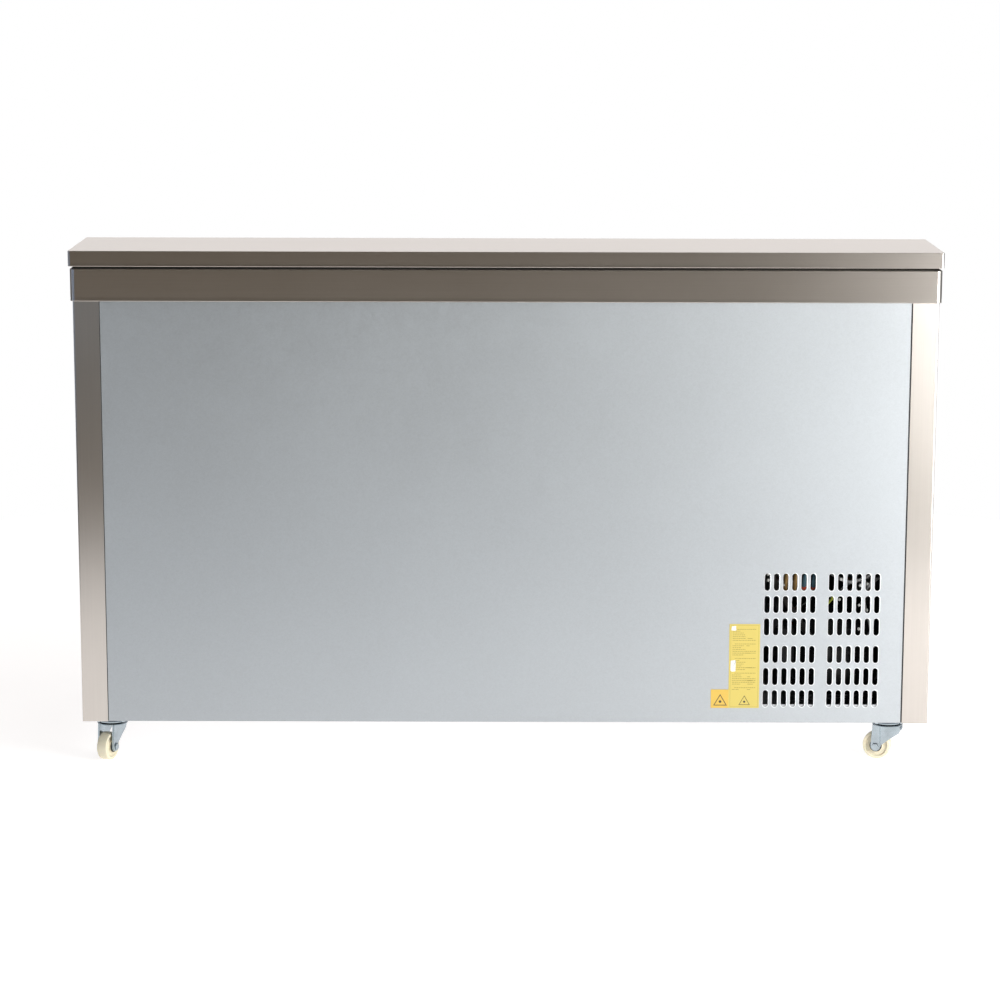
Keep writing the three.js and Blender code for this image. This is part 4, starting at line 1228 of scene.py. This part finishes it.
def make_compressor():
    """Black enamelled can of two pressed halves with a weld seam, on feet with rubber buffers."""
    x, y = COMPRESSOR
    can = Shape()
    profile = [(0, 100), (46, 100.5), (60, 102.5), (69, 107), (74.5, 115), (77, 127), (77.6, 150),
               (77.2, 183), (77.3, 184.4), (78, 185.4), (78, 189.2), (77.2, 190.4), (75.9, 191),
               (75.8, 205), (74.4, 220), (70, 236), (62, 248), (50, 258), (34, 265), (16, 269),
               (0, 269.8)]
    lathe(can, profile, 56, upright(x, y))
    box(can, x - 60, x + 60, y - 68, y + 68, 98, 101.2, 0.8, 16)
    for dy in (-57, 57):
        box(can, x - 90, x + 90, y + dy - 13, y + dy + 13, 92.4, 95.8, 0.9, 11)
        box(can, x - 58, x + 58, y + dy - 9, y + dy + 9, 95, 99.5, 1.5, 5)
    for turn in (20, 140, 250):
        box(can, 74.5, 77.9, -9, 9, 106, 132, 0.8, 1.2, upright(x, y, 0, turn))
    stand_in("compressor_can", can, ENAMEL, "compressor")
    buffers = Shape()
    for dx in (-78, 78):
        for dy in (-57, 57):
            lathe(buffers, [(0, 78.6), (10.6, 78.6), (11, 79.6), (11, 83), (8.4, 84.4), (8.4, 88),
                            (11, 89.4), (11, 92), (10, 92.3), (0, 92.3)], 24, upright(x + dx, y + dy))
            lathe(buffers, [(0, 95.6), (9, 95.8), (9, 97.4), (5.2, 98.2), (5.2, 101.6), (4.2, 102.4),
                            (0, 102.4)], 24,
                  upright(x + dx, y + dy))
    add_piece("compressor_buffers", buffers, RUBBER, "compressor")
    cover = Shape()
    slab(cover, rounded_rect(x + 79, x + 112, y - 32, y + 32, 7, 5), 140, 215, 4, None, 4)
    for z in (158, 170, 182, 194):
        box(cover, x + 111.6, x + 112.4, y - 22, y + 22, z, z + 3, 0.3, 0.3)
    box(cover, x + 78.4, x + 84, y - 26, y + 26, 146, 209, 1, 1)
    stand_in("terminal_cover", cover, BLACK_PLASTIC, "terminal_box")


def make_pipes():
    discharge = Shape()
    tube(discharge, [(-600, 75, 200), (-600, 60, 203), (-601, 42, 213), (-612, 22, 229), (-640, 0, 250),
                     (-672, -28, 272), (-700, -60, 290), (-714, -104, 296), (-720, -150, 296),
                     (-722, -196, 292), (-722, -222, 282), (-722, -234, 272), (-722, -240, 264)], 4, 16,
                     5)
    stand_in("discharge_line", discharge, COPPER, "discharge_pipe")
    suction = Shape()
    tube(suction, [(-562, 222, 188), (-558, 238, 191), (-552, 257, 201), (-538, 274, 222),
                   (-520, 285, 250), (-498, 289.5, 282), (-480, 290, 310), (-471.5, 290, 330),
                   (-470, 290, 345), (-470, 290, 358)],
         5.8, 18, 6)
    stand_in("suction_line", suction, DARK_FOAM, "suction_pipe")
    sleeve = Shape()
    tube(sleeve, [(-470, 290, 343), (-470, 290, 350), (-470, 290, 358)], 7.4, 18, 4)
    add_piece("suction_sleeve", sleeve, RUBBER, "suction_pipe")
    drier = Shape()
    lathe(drier, [(0, -51.6), (3.6, -51.6), (4, -50), (4.6, -42), (6, -38), (11, -34), (13.6, -30),
                  (14, -26), (14, -3), (14.3, -2.4), (14.3, 2.4), (14, 3), (14, 26), (13.6, 30),
                  (11, 34), (6, 38), (4.6, 42), (4, 50), (3.6, 51.6), (0, 51.6)], 32,
                  to_y(-475, 20, 300))
    stand_in("drier_shell", drier, COPPER, "filter_drier")


def make_condenser():
    block = Shape()
    tubes = finned_block(block, -705, -485, -300, -252, 92, 268, 3.2, (-288, -264),
                         (120, 150, 180, 210, 240), 4)
    for x in (-708, -485):
        box(block, x, x + 3, -304, -248, 78.6, 272, 0.4)
    stand_in("condenser_fins", block, ALUMINIUM, "condenser")
    return_bends(tubes, -708, -16, -288, -264, (120, 180, 240), 4)
    return_bends(tubes, -482, 16, -288, -264, (120, 180, 240), 4)
    add_piece("condenser_tubes", tubes, COPPER, "discharge_pipe")

    x, z = HOT_FAN
    hole = circle(85, 72, (x, z))
    outline = rounded_rect(-705, -485, 78.5, 272, 3, 3)
    flipped = [[(-a, b) for a, b in ring][::-1] for ring in (outline, hole)]
    sheet = plate(flipped[0], flipped[1:], 1.4, 0.3, metres(facing("+y", y=-239)))
    ring = Shape()
    lathe(ring, [(85.2, -239), (87.8, -239), (87.2, -234), (87.2, -217.5), (88, -214.6), (86.6, -214.1),
                 (85.4, -216), (85.2, -239)], 72, to_y(x, 0, z))
    stand_in("fan_shroud_plate", join_meshes(sheet, ring.mesh("ring")), GALVANISED_DULL, "fan_shroud")
    wheel = Shape()
    fan_wheel(wheel, x, -227, z, 79.5, 20, 17.6, 5, 12)
    stand_in("condenser_fan_wheel", wheel, BLACK_PLASTIC, "condenser_fan")
    motor = Shape()
    lathe(motor, [(0, -206), (20, -206), (22, -205), (30, -204), (32, -200), (32, -180), (31, -179),
                  (31, -168), (32, -167), (32, -148), (30, -142), (24, -140), (0, -140)], 40,
                  to_y(x, 0, z))
    lathe(motor, [(0, -228), (3.6, -228), (4, -227.4), (4, -204), (0, -204)], 20, to_y(x, 0, z))
    box(motor, x - 88, x + 88, -206, -202, z - 6, z + 6, 0.8, 0.8)
    for dx in (-88, 78):
        box(motor, x + dx, x + dx + 10, -213.6, -202, z - 6, z + 6, 0.8, 0.8)
    for turn in range(0, 360, 30):
        box(motor, 31.4, 33, -1.2, 1.2, 142, 172, 0.4, 0.5,
            Matrix.Translation((x, 0, z)) @ Matrix.Rotation(math.radians(90), 4, "X")
            @ Matrix.Rotation(math.radians(turn), 4, "Z"))
    stand_in("condenser_fan_motor", motor, ENAMEL, "condenser_motor")


CABLES = (
    ("brown_cable", "BROWN", 3.6, [(-504, 240, 289), (-505, 262, 299), (-507.5, 300, 313),
                                   (-508, 307, 328), (-511, 304, 343), (-530, 290, 355)]),
    ("brown_cable_inner", "BROWN", 3.4, [(-501, 238, 288), (-496, 262, 299), (-491.5, 300, 314),
                                         (-492, 306, 330), (-496, 302, 344), (-516, 288, 354)]),
    ("blue_cable", "BLUE", 3.8, [(-506, 238, 287), (-520, 258, 296), (-537, 284, 304), (-540, 300, 311),
                                 (-540.5, 307, 328), (-545, 303, 345), (-556, 286, 354)]),
    ("blue_cable_inner", "BLUE", 3.6, [(-503, 240, 287), (-512, 260, 297), (-522, 284, 305),
                                       (-523.5, 300, 312), (-524, 307, 328), (-530, 303, 344),
                                       (-552, 288, 352)]),
    ("harness_sleeve", "BLACK", 8.4, [(-488, 160, 196), (-487, 168, 232), (-489, 188, 264),
                                      (-497, 218, 282), (-504.5, 246, 292)]),
    ("earth_cable", "EARTH", 2.2, [(-562, 214, 215), (-558, 240, 225), (-556, 280, 250),
                                   (-557, 300, 272), (-566, 307, 288), (-572, 308, 296),
                                   (-576, 314, 305), (-578, 320, 309.5)]),
    ("grey_cable", "GREY", 3.0, [(-552, 286, 352), (-566, 300, 344), (-586, 306, 333), (-604, 304, 326),
                                 (-626, 300, 331), (-652, 292, 342), (-690, 270, 352)]),
    ("grey_cable_lower", "GREY", 2.6, [(-700, 250, 350), (-664, 296, 338), (-637, 306, 320),
                                       (-629, 305, 298), (-634, 304, 272), (-641, 305, 250),
                                       (-640, 304, 232), (-620, 290, 214)]),
)


def make_wiring():
    """The harness behind the top rows of slots, with crimped sleeves and pale ties."""
    skins = {"BROWN": BROWN_CABLE, "BLUE": BLUE_CABLE, "EARTH": EARTH_CABLE, "GREY": GREY_CABLE,
             "BLACK": RUBBER}
    for name, skin, radius, route in CABLES:
        shape = Shape()
        tube(shape, route, radius, 12, 5)
        add_piece("wiring_" + name, shape, skins[skin], "base_pan")
    sleeves = Shape()
    for route, radius in (([(-540.2, 304.6, 319), (-540, 301.6, 313)], 4.6),
                          ([(-523.8, 304.6, 319), (-523.5, 301.6, 313)], 4.4)):
        tube(sleeves, route, radius, 14, bends=False)
    add_piece("wiring_sleeves", sleeves, RED_ENAMEL, "base_pan")
    ties = Shape()
    for x, y, z, turn in ((-460, 309, 341, 10), (-460.5, 309, 330, -8), (-487, 309, 322, 30),
                          (-528, 309.5, 312, 0), (-622, 308, 321, 20), (-634, 308.5, 324, -15),
                          (-621, 309, 286, 35), (-634.5, 309, 277, 5), (-570, 309.5, 303, 0),
                          (-588, 309, 332, 12), (-586, 308.8, 296, -20), (-621, 309, 243, 15)):
        lathe(ties, [(0, -1.6), (1.6, -1.6), (2.3, -0.8), (2.3, 0.8), (1.6, 1.6), (0, 1.6)], 14,
              Matrix.Translation((x, y, z)) @ Matrix.Rotation(math.radians(turn), 4, "Y")
              @ Matrix.Diagonal((1.0, 0.7, 1.5, 1.0)))
    add_piece("wiring_ties", ties, WHITE_CABLE, "base_pan")


# --- Front grille and controls ------------------------------------------------------------


def make_grille():
    """Moulded air grille: a soft-edged frame, nine raked blades and four screws."""
    x0, x1, z0, z1 = -715, -475, 100, 270
    face = Shape()
    outer = rounded_rect(x0 + 1.4, x1 - 1.4, z0 + 1.4, z1 - 1.4, 4, 5)
    inner = rounded_rect(x0 + 12, x1 - 12, z0 + 12, z1 - 12, 5, 5)
    rings = []
    for share, y in ((0.0, -319), (0.0, -322.3), (0.08, -323.2), (0.2, -323.5), (0.85, -323.5),
                     (0.97, -323), (1.0, -321.8), (1.0, -313), (0.3, -313), (0.3, -319)):
        rings.append([(x, y, z) for x, z in blended(outer, inner, share)])
    face.loft(rings, None, "hoop")
    for i in range(9):
        z = z0 + 20 + i * 16.2
        blade = [(-323, z - 5), (-322.2, z - 5.3), (-321.4, z - 5), (-313, z + 5), (-313.6, z + 5.4),
                 (-314.6, z + 5)]
        face.loft([[(x, y, h) for y, h in blade] for x in (x0 + 10, x1 - 10)])
    for x in (x0 + 60, x1 - 60):
        box(face, x - 1.2, x + 1.2, -321.5, -314, z0 + 10, z1 - 10, 0.4, 0.6)
    for x in (x0 + 6.6, x1 - 6.6):
        for z in (z0 + 30, z1 - 30):
            lathe(face, [(0, 0), (2.6, 0), (2.4, 0.5), (1.4, 0.8), (0, 0.8)], 20,
                  facing("-y", x, -323.4, z))
    stand_in("grille_moulding", face, GREY_TRIM, "front_grille")


def ruled_digit(shape, digit, x, z, size, place):
    """A plain seven-bar numeral."""
    bars = {"0": "abcdef", "1": "bc", "2": "abged", "3": "abgcd", "4": "fgbc", "5": "afgcd",
            "6": "afgedc",
            "7": "abc"}[digit]
    w, h, t = size * 0.3, size * 0.5, size * 0.07
    spans = {"a": (-w, w, h - t, h + t), "g": (-w, w, -t, t), "d": (-w, w, -h - t, -h + t),
             "b": (w - t, w + t, 0, h), "c": (w - t, w + t, -h, 0), "e": (-w - t, -w + t, -h, 0),
             "f": (-w - t, -w + t, 0, h)}
    for key in bars:
        a, b, c, d = spans[key]
        box(shape, x + a, x + b, z + c, z + d, 0, 0.12, 0.03, 0.05, place)


def make_controls():
    """Black control strip: numbered thermostat knob, rocker switch and lamp."""
    refined("control_box", BLACK_PLASTIC, 0.7, 2, 25, 20, False)
    x, z = -650, 318
    knob = Shape()
    place = facing("-y", x, 0, z)
    lathe(knob, [(0, 296), (3.6, 296), (4, 296.6), (4, 317), (18.4, 317), (19, 317.4), (19, 318.2),
                 (18.2, 318.9), (14.4, 319), (13.6, 320), (12.6, 327.4), (11.6, 328.6), (9.6, 329),
                 (0, 329)], 48, place)
    for i in range(24):
        box(knob, 12.4, 14.2, -0.7, 0.7, 319.5, 327, 0.4, 0.5,
            place @ Matrix.Rotation(math.radians(i * 15), 4, "Z"))
    box(knob, -1.8, 1.8, 0, 17.6, 318, 329.4, 0.6, 0.9, place)
    stand_in("thermostat_dial", knob, BLACK_PLASTIC, "thermostat_knob")
    pointer = Shape()
    box(pointer, -0.7, 0.7, 4, 16.6, 329.3, 329.5, 0.08, 0.3, place)
    add_piece("thermostat_pointer", pointer, WHITE_PRINT, "thermostat_knob")

    scale = Shape()
    face = facing("-y", x, -316.45, z)
    for i, digit in enumerate("01234567"):
        angle = math.radians(225 - i * 270 / 7)
        ruled_digit(scale, digit, 27.2 * math.cos(angle), 26.4 * math.sin(angle), 5.4, face)
        tick = face @ Matrix.Rotation(angle, 4, "Z")
        box(scale, 20.6, 22.6, -0.35, 0.35, 0, 0.12, 0.03, 0.1, tick)
    for dx, height in ((75, 17), (130, 17)):
        lathe(scale, [(1.5, 0), (2.1, 0), (2.1, 0.12), (1.5, 0.12), (1.5, 0)], 24,
              face @ upright(dx, height))
    box(scale, 129.7, 130.3, 17, 20.2, 0, 0.12, 0.03, 0.1, face)
    add_piece("control_scale", scale, WHITE_PRINT, "control_box")

    rocker = Shape()
    pivot_x, pivot_z = -575, 318
    outline = [(-304, -7), (-320.4, -10), (-321, -9.4), (-319.4, -4), (-318.7, 0), (-319.4, 4),
               (-321, 9.4), (-320.4, 10), (-304, 7)]
    rings = []
    for dx, shrink in ((-13.5, 0.94), (-13, 1.0), (13, 1.0), (13.5, 0.94)):
        rings.append([(pivot_x + dx, -312 + (y + 312) * shrink, pivot_z + h * shrink)
                      for y, h in outline])
    rocker.loft(rings)
    stand_in("power_rocker", rocker, GREEN_LENS, "power_switch")
    marks = Shape()
    mark_face = facing("-y", pivot_x, -320.1, pivot_z)
    box(marks, -0.4, 0.4, 5, 8, 0, 0.35, 0.08, 0.2, mark_face)
    lathe(marks, [(1.2, 0), (1.7, 0), (1.7, 0.35), (1.2, 0.35), (1.2, 0)], 20,
          mark_face @ upright(0, -6.5))
    add_piece("power_rocker_marks", marks, WHITE_PRINT, "power_switch")
    lamp = Shape()
    lathe(lamp, [(0, 301), (4.4, 301), (4.8, 301.5), (4.8, 317), (4.5, 318.4), (3.8, 319.6),
                 (2.6, 320.3), (0, 320.6)],
          32, facing("-y", -520, 0, 318))
    stand_in("lamp_lens", lamp, GREEN_LENS, "indicator_lamp")


# --- Castors ------------------------------------------------------------------------------

AXLE_Z = 24.79
TRAIL = 18


def make_castor(name, turn):
    """Bolted plate, ball race, pressed zinc fork with a folded rib, hexagon axle and nylon wheel."""
    low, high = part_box("castor_plate_" + name)
    centre = ((low[0] + high[0]) / 2 / MM, (low[1] + high[1]) / 2 / MM)
    fixed = upright(*centre)
    top = BODY_BOTTOM - 0.3
    plate_shape = Shape()
    slab(plate_shape, rounded_rect(-29, 29, -29, 29, 5, 5), top - 2.5, top, 0.5, fixed)
    lathe(plate_shape, [(8, 66.2), (20, 66.2), (24.6, 66.6), (26.4, 68), (26.9, 69.6), (26.2, 71),
                        (24.4, 71.6), (23, 72.4), (22.4, top - 2), (8, top - 2), (8, 66.2)], 48, fixed)
    lathe(plate_shape, [(0, 58.7), (6.8, 58.7), (8, 59.6), (8, 61.2), (7, 62), (4, 62.1), (4, 70),
                        (0, 70)], 24, fixed)
    for dx in (-21.5, 21.5):
        for dy in (-21.5, 21.5):
            bolt = fixed @ upright(dx, dy)
            lathe(plate_shape, [(0, top - 6.6), (3.6, top - 6.4), (4.4, top - 5.6), (4.4, top - 2.4),
                                (0, top - 2.4)], 6, bolt)
    stand_in("castor_plate_" + name + "_race", plate_shape, ZINC, "castor_plate_" + name)

    swivel = upright(*centre, 0, turn)
    fork = Shape()
    lathe(fork, [(4.4, 62.5), (20, 62.4), (24.5, 62.2), (26.6, 62.9), (27, 64), (26.2, 65.1), (22, 65.5),
                 (4.4, 65.5), (4.4, 62.5)], 48, swivel)
    outline = [(-24.6, 65), (-24.9, 54), (-23, 50.6), (-6, 38.2), (7.4, 27), (9.2, 22), (12, 17.6),
               (16, 15.6), (20.4, 15.7), (24.2, 17.9), (26.7, 22), (27, 27), (24.8, 54), (24, 65)]
    fold = [(9.4, 25), (12.2, 18.4), (16, 16.4), (20.2, 16.5), (23.8, 18.6), (26, 22.4), (26.3, 27),
            (24.1, 54), (23.3, 64), (10.4, 64)]
    for mirror, direction in ((1, "-y"), (-1, "+y")):
        for flat, low, high, edge in ((outline, 12.5, 14.5, 0.55), (fold, 14.2, 16.8, 0.9)):
            slab(fork, [(x * mirror, z) for x, z in flat], low, high, edge, swivel @ facing(direction))
    lathe(fork, [(0, -18), (4, -18), (4, 18), (0, 18)], 20, swivel @ to_y(TRAIL, 0, AXLE_Z))
    for side in (-1, 1):
        head = swivel @ to_y(TRAIL, 0, AXLE_Z)
        stack = [(0, 16.4), (6.3, 16.4), (6.3, 19), (5.2, 19.4), (0, 19.4)]
        if side < 0:
            stack = [(r, -h) for r, h in reversed(stack)]
        lathe(fork, stack, 6, head)
        ring = [(4, 16.6), (7.6, 16.6), (7.6, 17.4), (4, 17.4), (4, 16.6)]
        lathe(fork, [(r, h * side) for r, h in ring], 28, head)
    stand_in("castor_fork_" + name + "_pressed", fork, ZINC, "castor_fork_" + name)

    washers = Shape()
    for side in (-1, 1):
        ring = [(4.3, 10.7), (10.5, 10.7), (11, 11.2), (10.5, 12.2), (4.3, 12.2), (4.3, 10.7)]
        lathe(washers, [(r, h * side) for r, h in ring], 32, swivel @ to_y(TRAIL, 0, AXLE_Z))
    add_piece("castor_washers_" + name, washers, RUBBER, "castor_fork_" + name)

    wheel = Shape()
    radius = AXLE_Z - 0.03
    half = [(4.5, 10.4), (8.6, 10.4), (9.8, 9.8), (10.6, 7.6), (12, 6.6), (17.2, 6.6), (18.6, 7.4),
            (19.2, 8.8), (20.2, 9.5), (21.8, 9.5), (22.6, 9.1), (23.2, 9.3), (24.1, 8.6),
            (radius - 0.25, 6.6), (radius, 4.0)]
    profile = [(r, -h) for r, h in half] + [(radius, 0)] + half[::-1] + [(4.5, -10.4)]
    lathe(wheel, profile, 72, swivel @ to_y(TRAIL, 0, AXLE_Z))
    stand_in("castor_wheel_" + name + "_tread", wheel, NYLON, "castor_wheel_" + name)


# --- Assembly -----------------------------------------------------------------------------

make_deck()
make_collar()
for side_name, direction in SIDES:
    make_side_panel("side_panel_" + side_name, direction)
make_rear_panel()
make_front_panel()
make_machine_lining()
make_labels()
make_liner()
make_drain()
make_breaker_frame()
make_hinge("left", -735, -15)
make_hinge("right", 15, 735)
for side_name, direction in SIDES:
    make_lid(side_name, direction)
    make_basket(side_name, direction)
make_evaporator_cover()
make_evaporator()
make_cold_fan()
make_compressor()
make_pipes()
make_condenser()
make_wiring()
make_grille()
make_controls()
for castor_name, castor_turn in CASTOR_TURN.items():
    make_castor(castor_name, castor_turn)


# --- Studio -------------------------------------------------------------------------------


LENS = 107.53
CAMERA_PLACE = (0.0095, 5.424, 1.430)
CAMERA_PITCH = 10.61
CAMERA_ROLL = 0.14


def make_camera():
    """Behind the unit, about 5 m from its back and 1.4 m up, looking slightly down."""
    pitch = math.radians(CAMERA_PITCH)
    roll = math.radians(CAMERA_ROLL)
    forward = Vector((0.0, -math.cos(pitch), -math.sin(pitch)))
    right = Vector((-1.0, 0.0, 0.0))
    up = right.cross(forward)
    tilted_right = right * math.cos(roll) + up * math.sin(roll)
    tilted_up = up * math.cos(roll) - right * math.sin(roll)
    data = bpy.data.cameras.new("camera")
    data.lens = LENS
    data.sensor_width = 36.0
    data.clip_end = 60.0
    camera = new_object("camera", data)
    axes = Matrix((tilted_right, tilted_up, -forward)).transposed().to_4x4()
    camera.matrix_world = Matrix.Translation(CAMERA_PLACE) @ axes
    bpy.context.scene.camera = camera


# Soft boxes: place, target, size and power in red, green and blue.
LAMPS = {
    "overhead": ((0, 0.2, 3.8), (0, 0.2, 0), (4.5, 3.5), (28, 28, 28)),
    "side_near": ((-1.9, 1.9, 0.85), (-0.7, 0.33, 0.5), (1.0, 1.6), (42, 41, 40)),
    "side_far": ((-2.5, 3.3, 0.8), (-0.5, 0.33, 0.5), (1.4, 1.6), (12, 13, 14)),
    "front_fill": ((0.0, -4.2, 2.6), (0, 0, 0.4), (4.8, 2.5), (50, 49, 49)),
    "rear_far": ((-2.2, 5.8, 0.9), (-0.6, 0.33, 0.7), (0.9, 1.2), (17, 17, 17)),
    "left_edge": ((2.6, 1.1, 0.8), (0.75, 0.33, 0.6), (0.5, 1.2), (1.4, 1.6, 2)),
    "left_window": ((2.5, 2.9, 1.0), (0.5, 0.33, 0.6), (1.2, 1.6), (1.7, 2.6, 4.0)),
}
# Light from the room by direction: in front, at either end, and behind from the floor up.
ROOM = {
    "front": (0.14, 0.14, 0.14),
    "left": (0.04, 0.05, 0.07),
    "right": (1.1, 1.2, 1.2),
    "low": (0.18, 0.11, 0.03),
    "level": (0.0, 0.0, 0.0),
    "high": (0.07, 0.06, 0.045),
}
FLOOR_REACH = 2.3
FLOOR_GLOW = (0.77, 0.75, 0.74)
BACKDROP = 1.0


def area_light(name, place, target, size, power):
    data = bpy.data.lights.new(name, "AREA")
    data.shape = "RECTANGLE"
    data.size, data.size_y = size
    data.energy = max(power)
    data.color = [channel / max(power) for channel in power]
    lamp = new_object(name, data)
    lamp.location = place
    lamp.visible_camera = False
    aim = Vector(target) - Vector(place)
    lamp.rotation_euler = aim.to_track_quat("-Z", "Y").to_euler()


def fade(tree, value, low, high):
    """A soft step from 0 at low to 1 at high."""
    return add_node(tree, "ShaderNodeMapRange", {"Value": value, "From Min": low, "From Max": high},
                    interpolation_type="SMOOTHSTEP").outputs[0]


def make_world(scene):
    """A white backdrop for the camera; as a light source the room has a soft colour in each direction."""
    world = bpy.data.worlds.new("studio")
    scene.world = world
    world.use_nodes = True
    tree = world.node_tree
    tree.nodes.clear()
    direction = tree.nodes.new("ShaderNodeTexCoord").outputs["Generated"]
    parts = add_node(tree, "ShaderNodeSeparateXYZ", {0: direction})
    mixing = (("back", fade(tree, parts.outputs["Z"], -0.26, -0.11), "low", "level"),
              ("back", fade(tree, parts.outputs["Z"], -0.12, 0.10), "back", "high"),
              ("back", fade(tree, parts.outputs["X"], 0.25, 0.75), "back", "left"),
              ("back", fade(tree, parts.outputs["X"], -0.10, -0.55), "back", "right"),
              ("all", fade(tree, parts.outputs["Y"], -0.3, 0.5), "front", "back"))
    made = {name: (*colour, 1.0) for name, colour in ROOM.items()}
    for name, share, first, second in mixing:
        made[name] = add_node(tree, "ShaderNodeMix", {0: share, 6: made[first], 7: made[second]},
                              data_type="RGBA").outputs[2]
    around = add_node(tree, "ShaderNodeBackground", {"Color": made["all"], "Strength": 1.0})
    backdrop = add_node(tree, "ShaderNodeBackground",
                        {"Color": (1.0, 1.0, 1.0, 1.0), "Strength": BACKDROP})
    seen = tree.nodes.new("ShaderNodeLightPath").outputs["Is Camera Ray"]
    both = add_node(tree, "ShaderNodeMixShader", {0: seen, 1: around.outputs[0], 2: backdrop.outputs[0]})
    output = tree.nodes.new("ShaderNodeOutputWorld")
    tree.links.new(both.outputs[0], output.inputs[0])


def make_floor():
    """A round pale floor that glows a little, like a light table."""
    mesh = bpy.data.meshes.new("floor")
    with editing(mesh) as bm:
        bmesh.ops.create_circle(bm, cap_ends=True, segments=96, radius=FLOOR_REACH)
    floor = new_object("floor", mesh)
    mesh.materials.append(surface("pale_floor", (0.55, 0.55, 0.55), 0.0, 0.7, [
        mottle(2, 0.01, 0.05),
    ], {"Emission Color": (*FLOOR_GLOW, 1.0), "Emission Strength": 1.0}))


def make_studio():
    scene = bpy.context.scene
    scene.view_settings.view_transform = "Standard"
    make_world(scene)
    make_floor()
    for name, (place, target, size, power) in LAMPS.items():
        area_light(name, place, target, size, power)


make_camera()
make_studio()
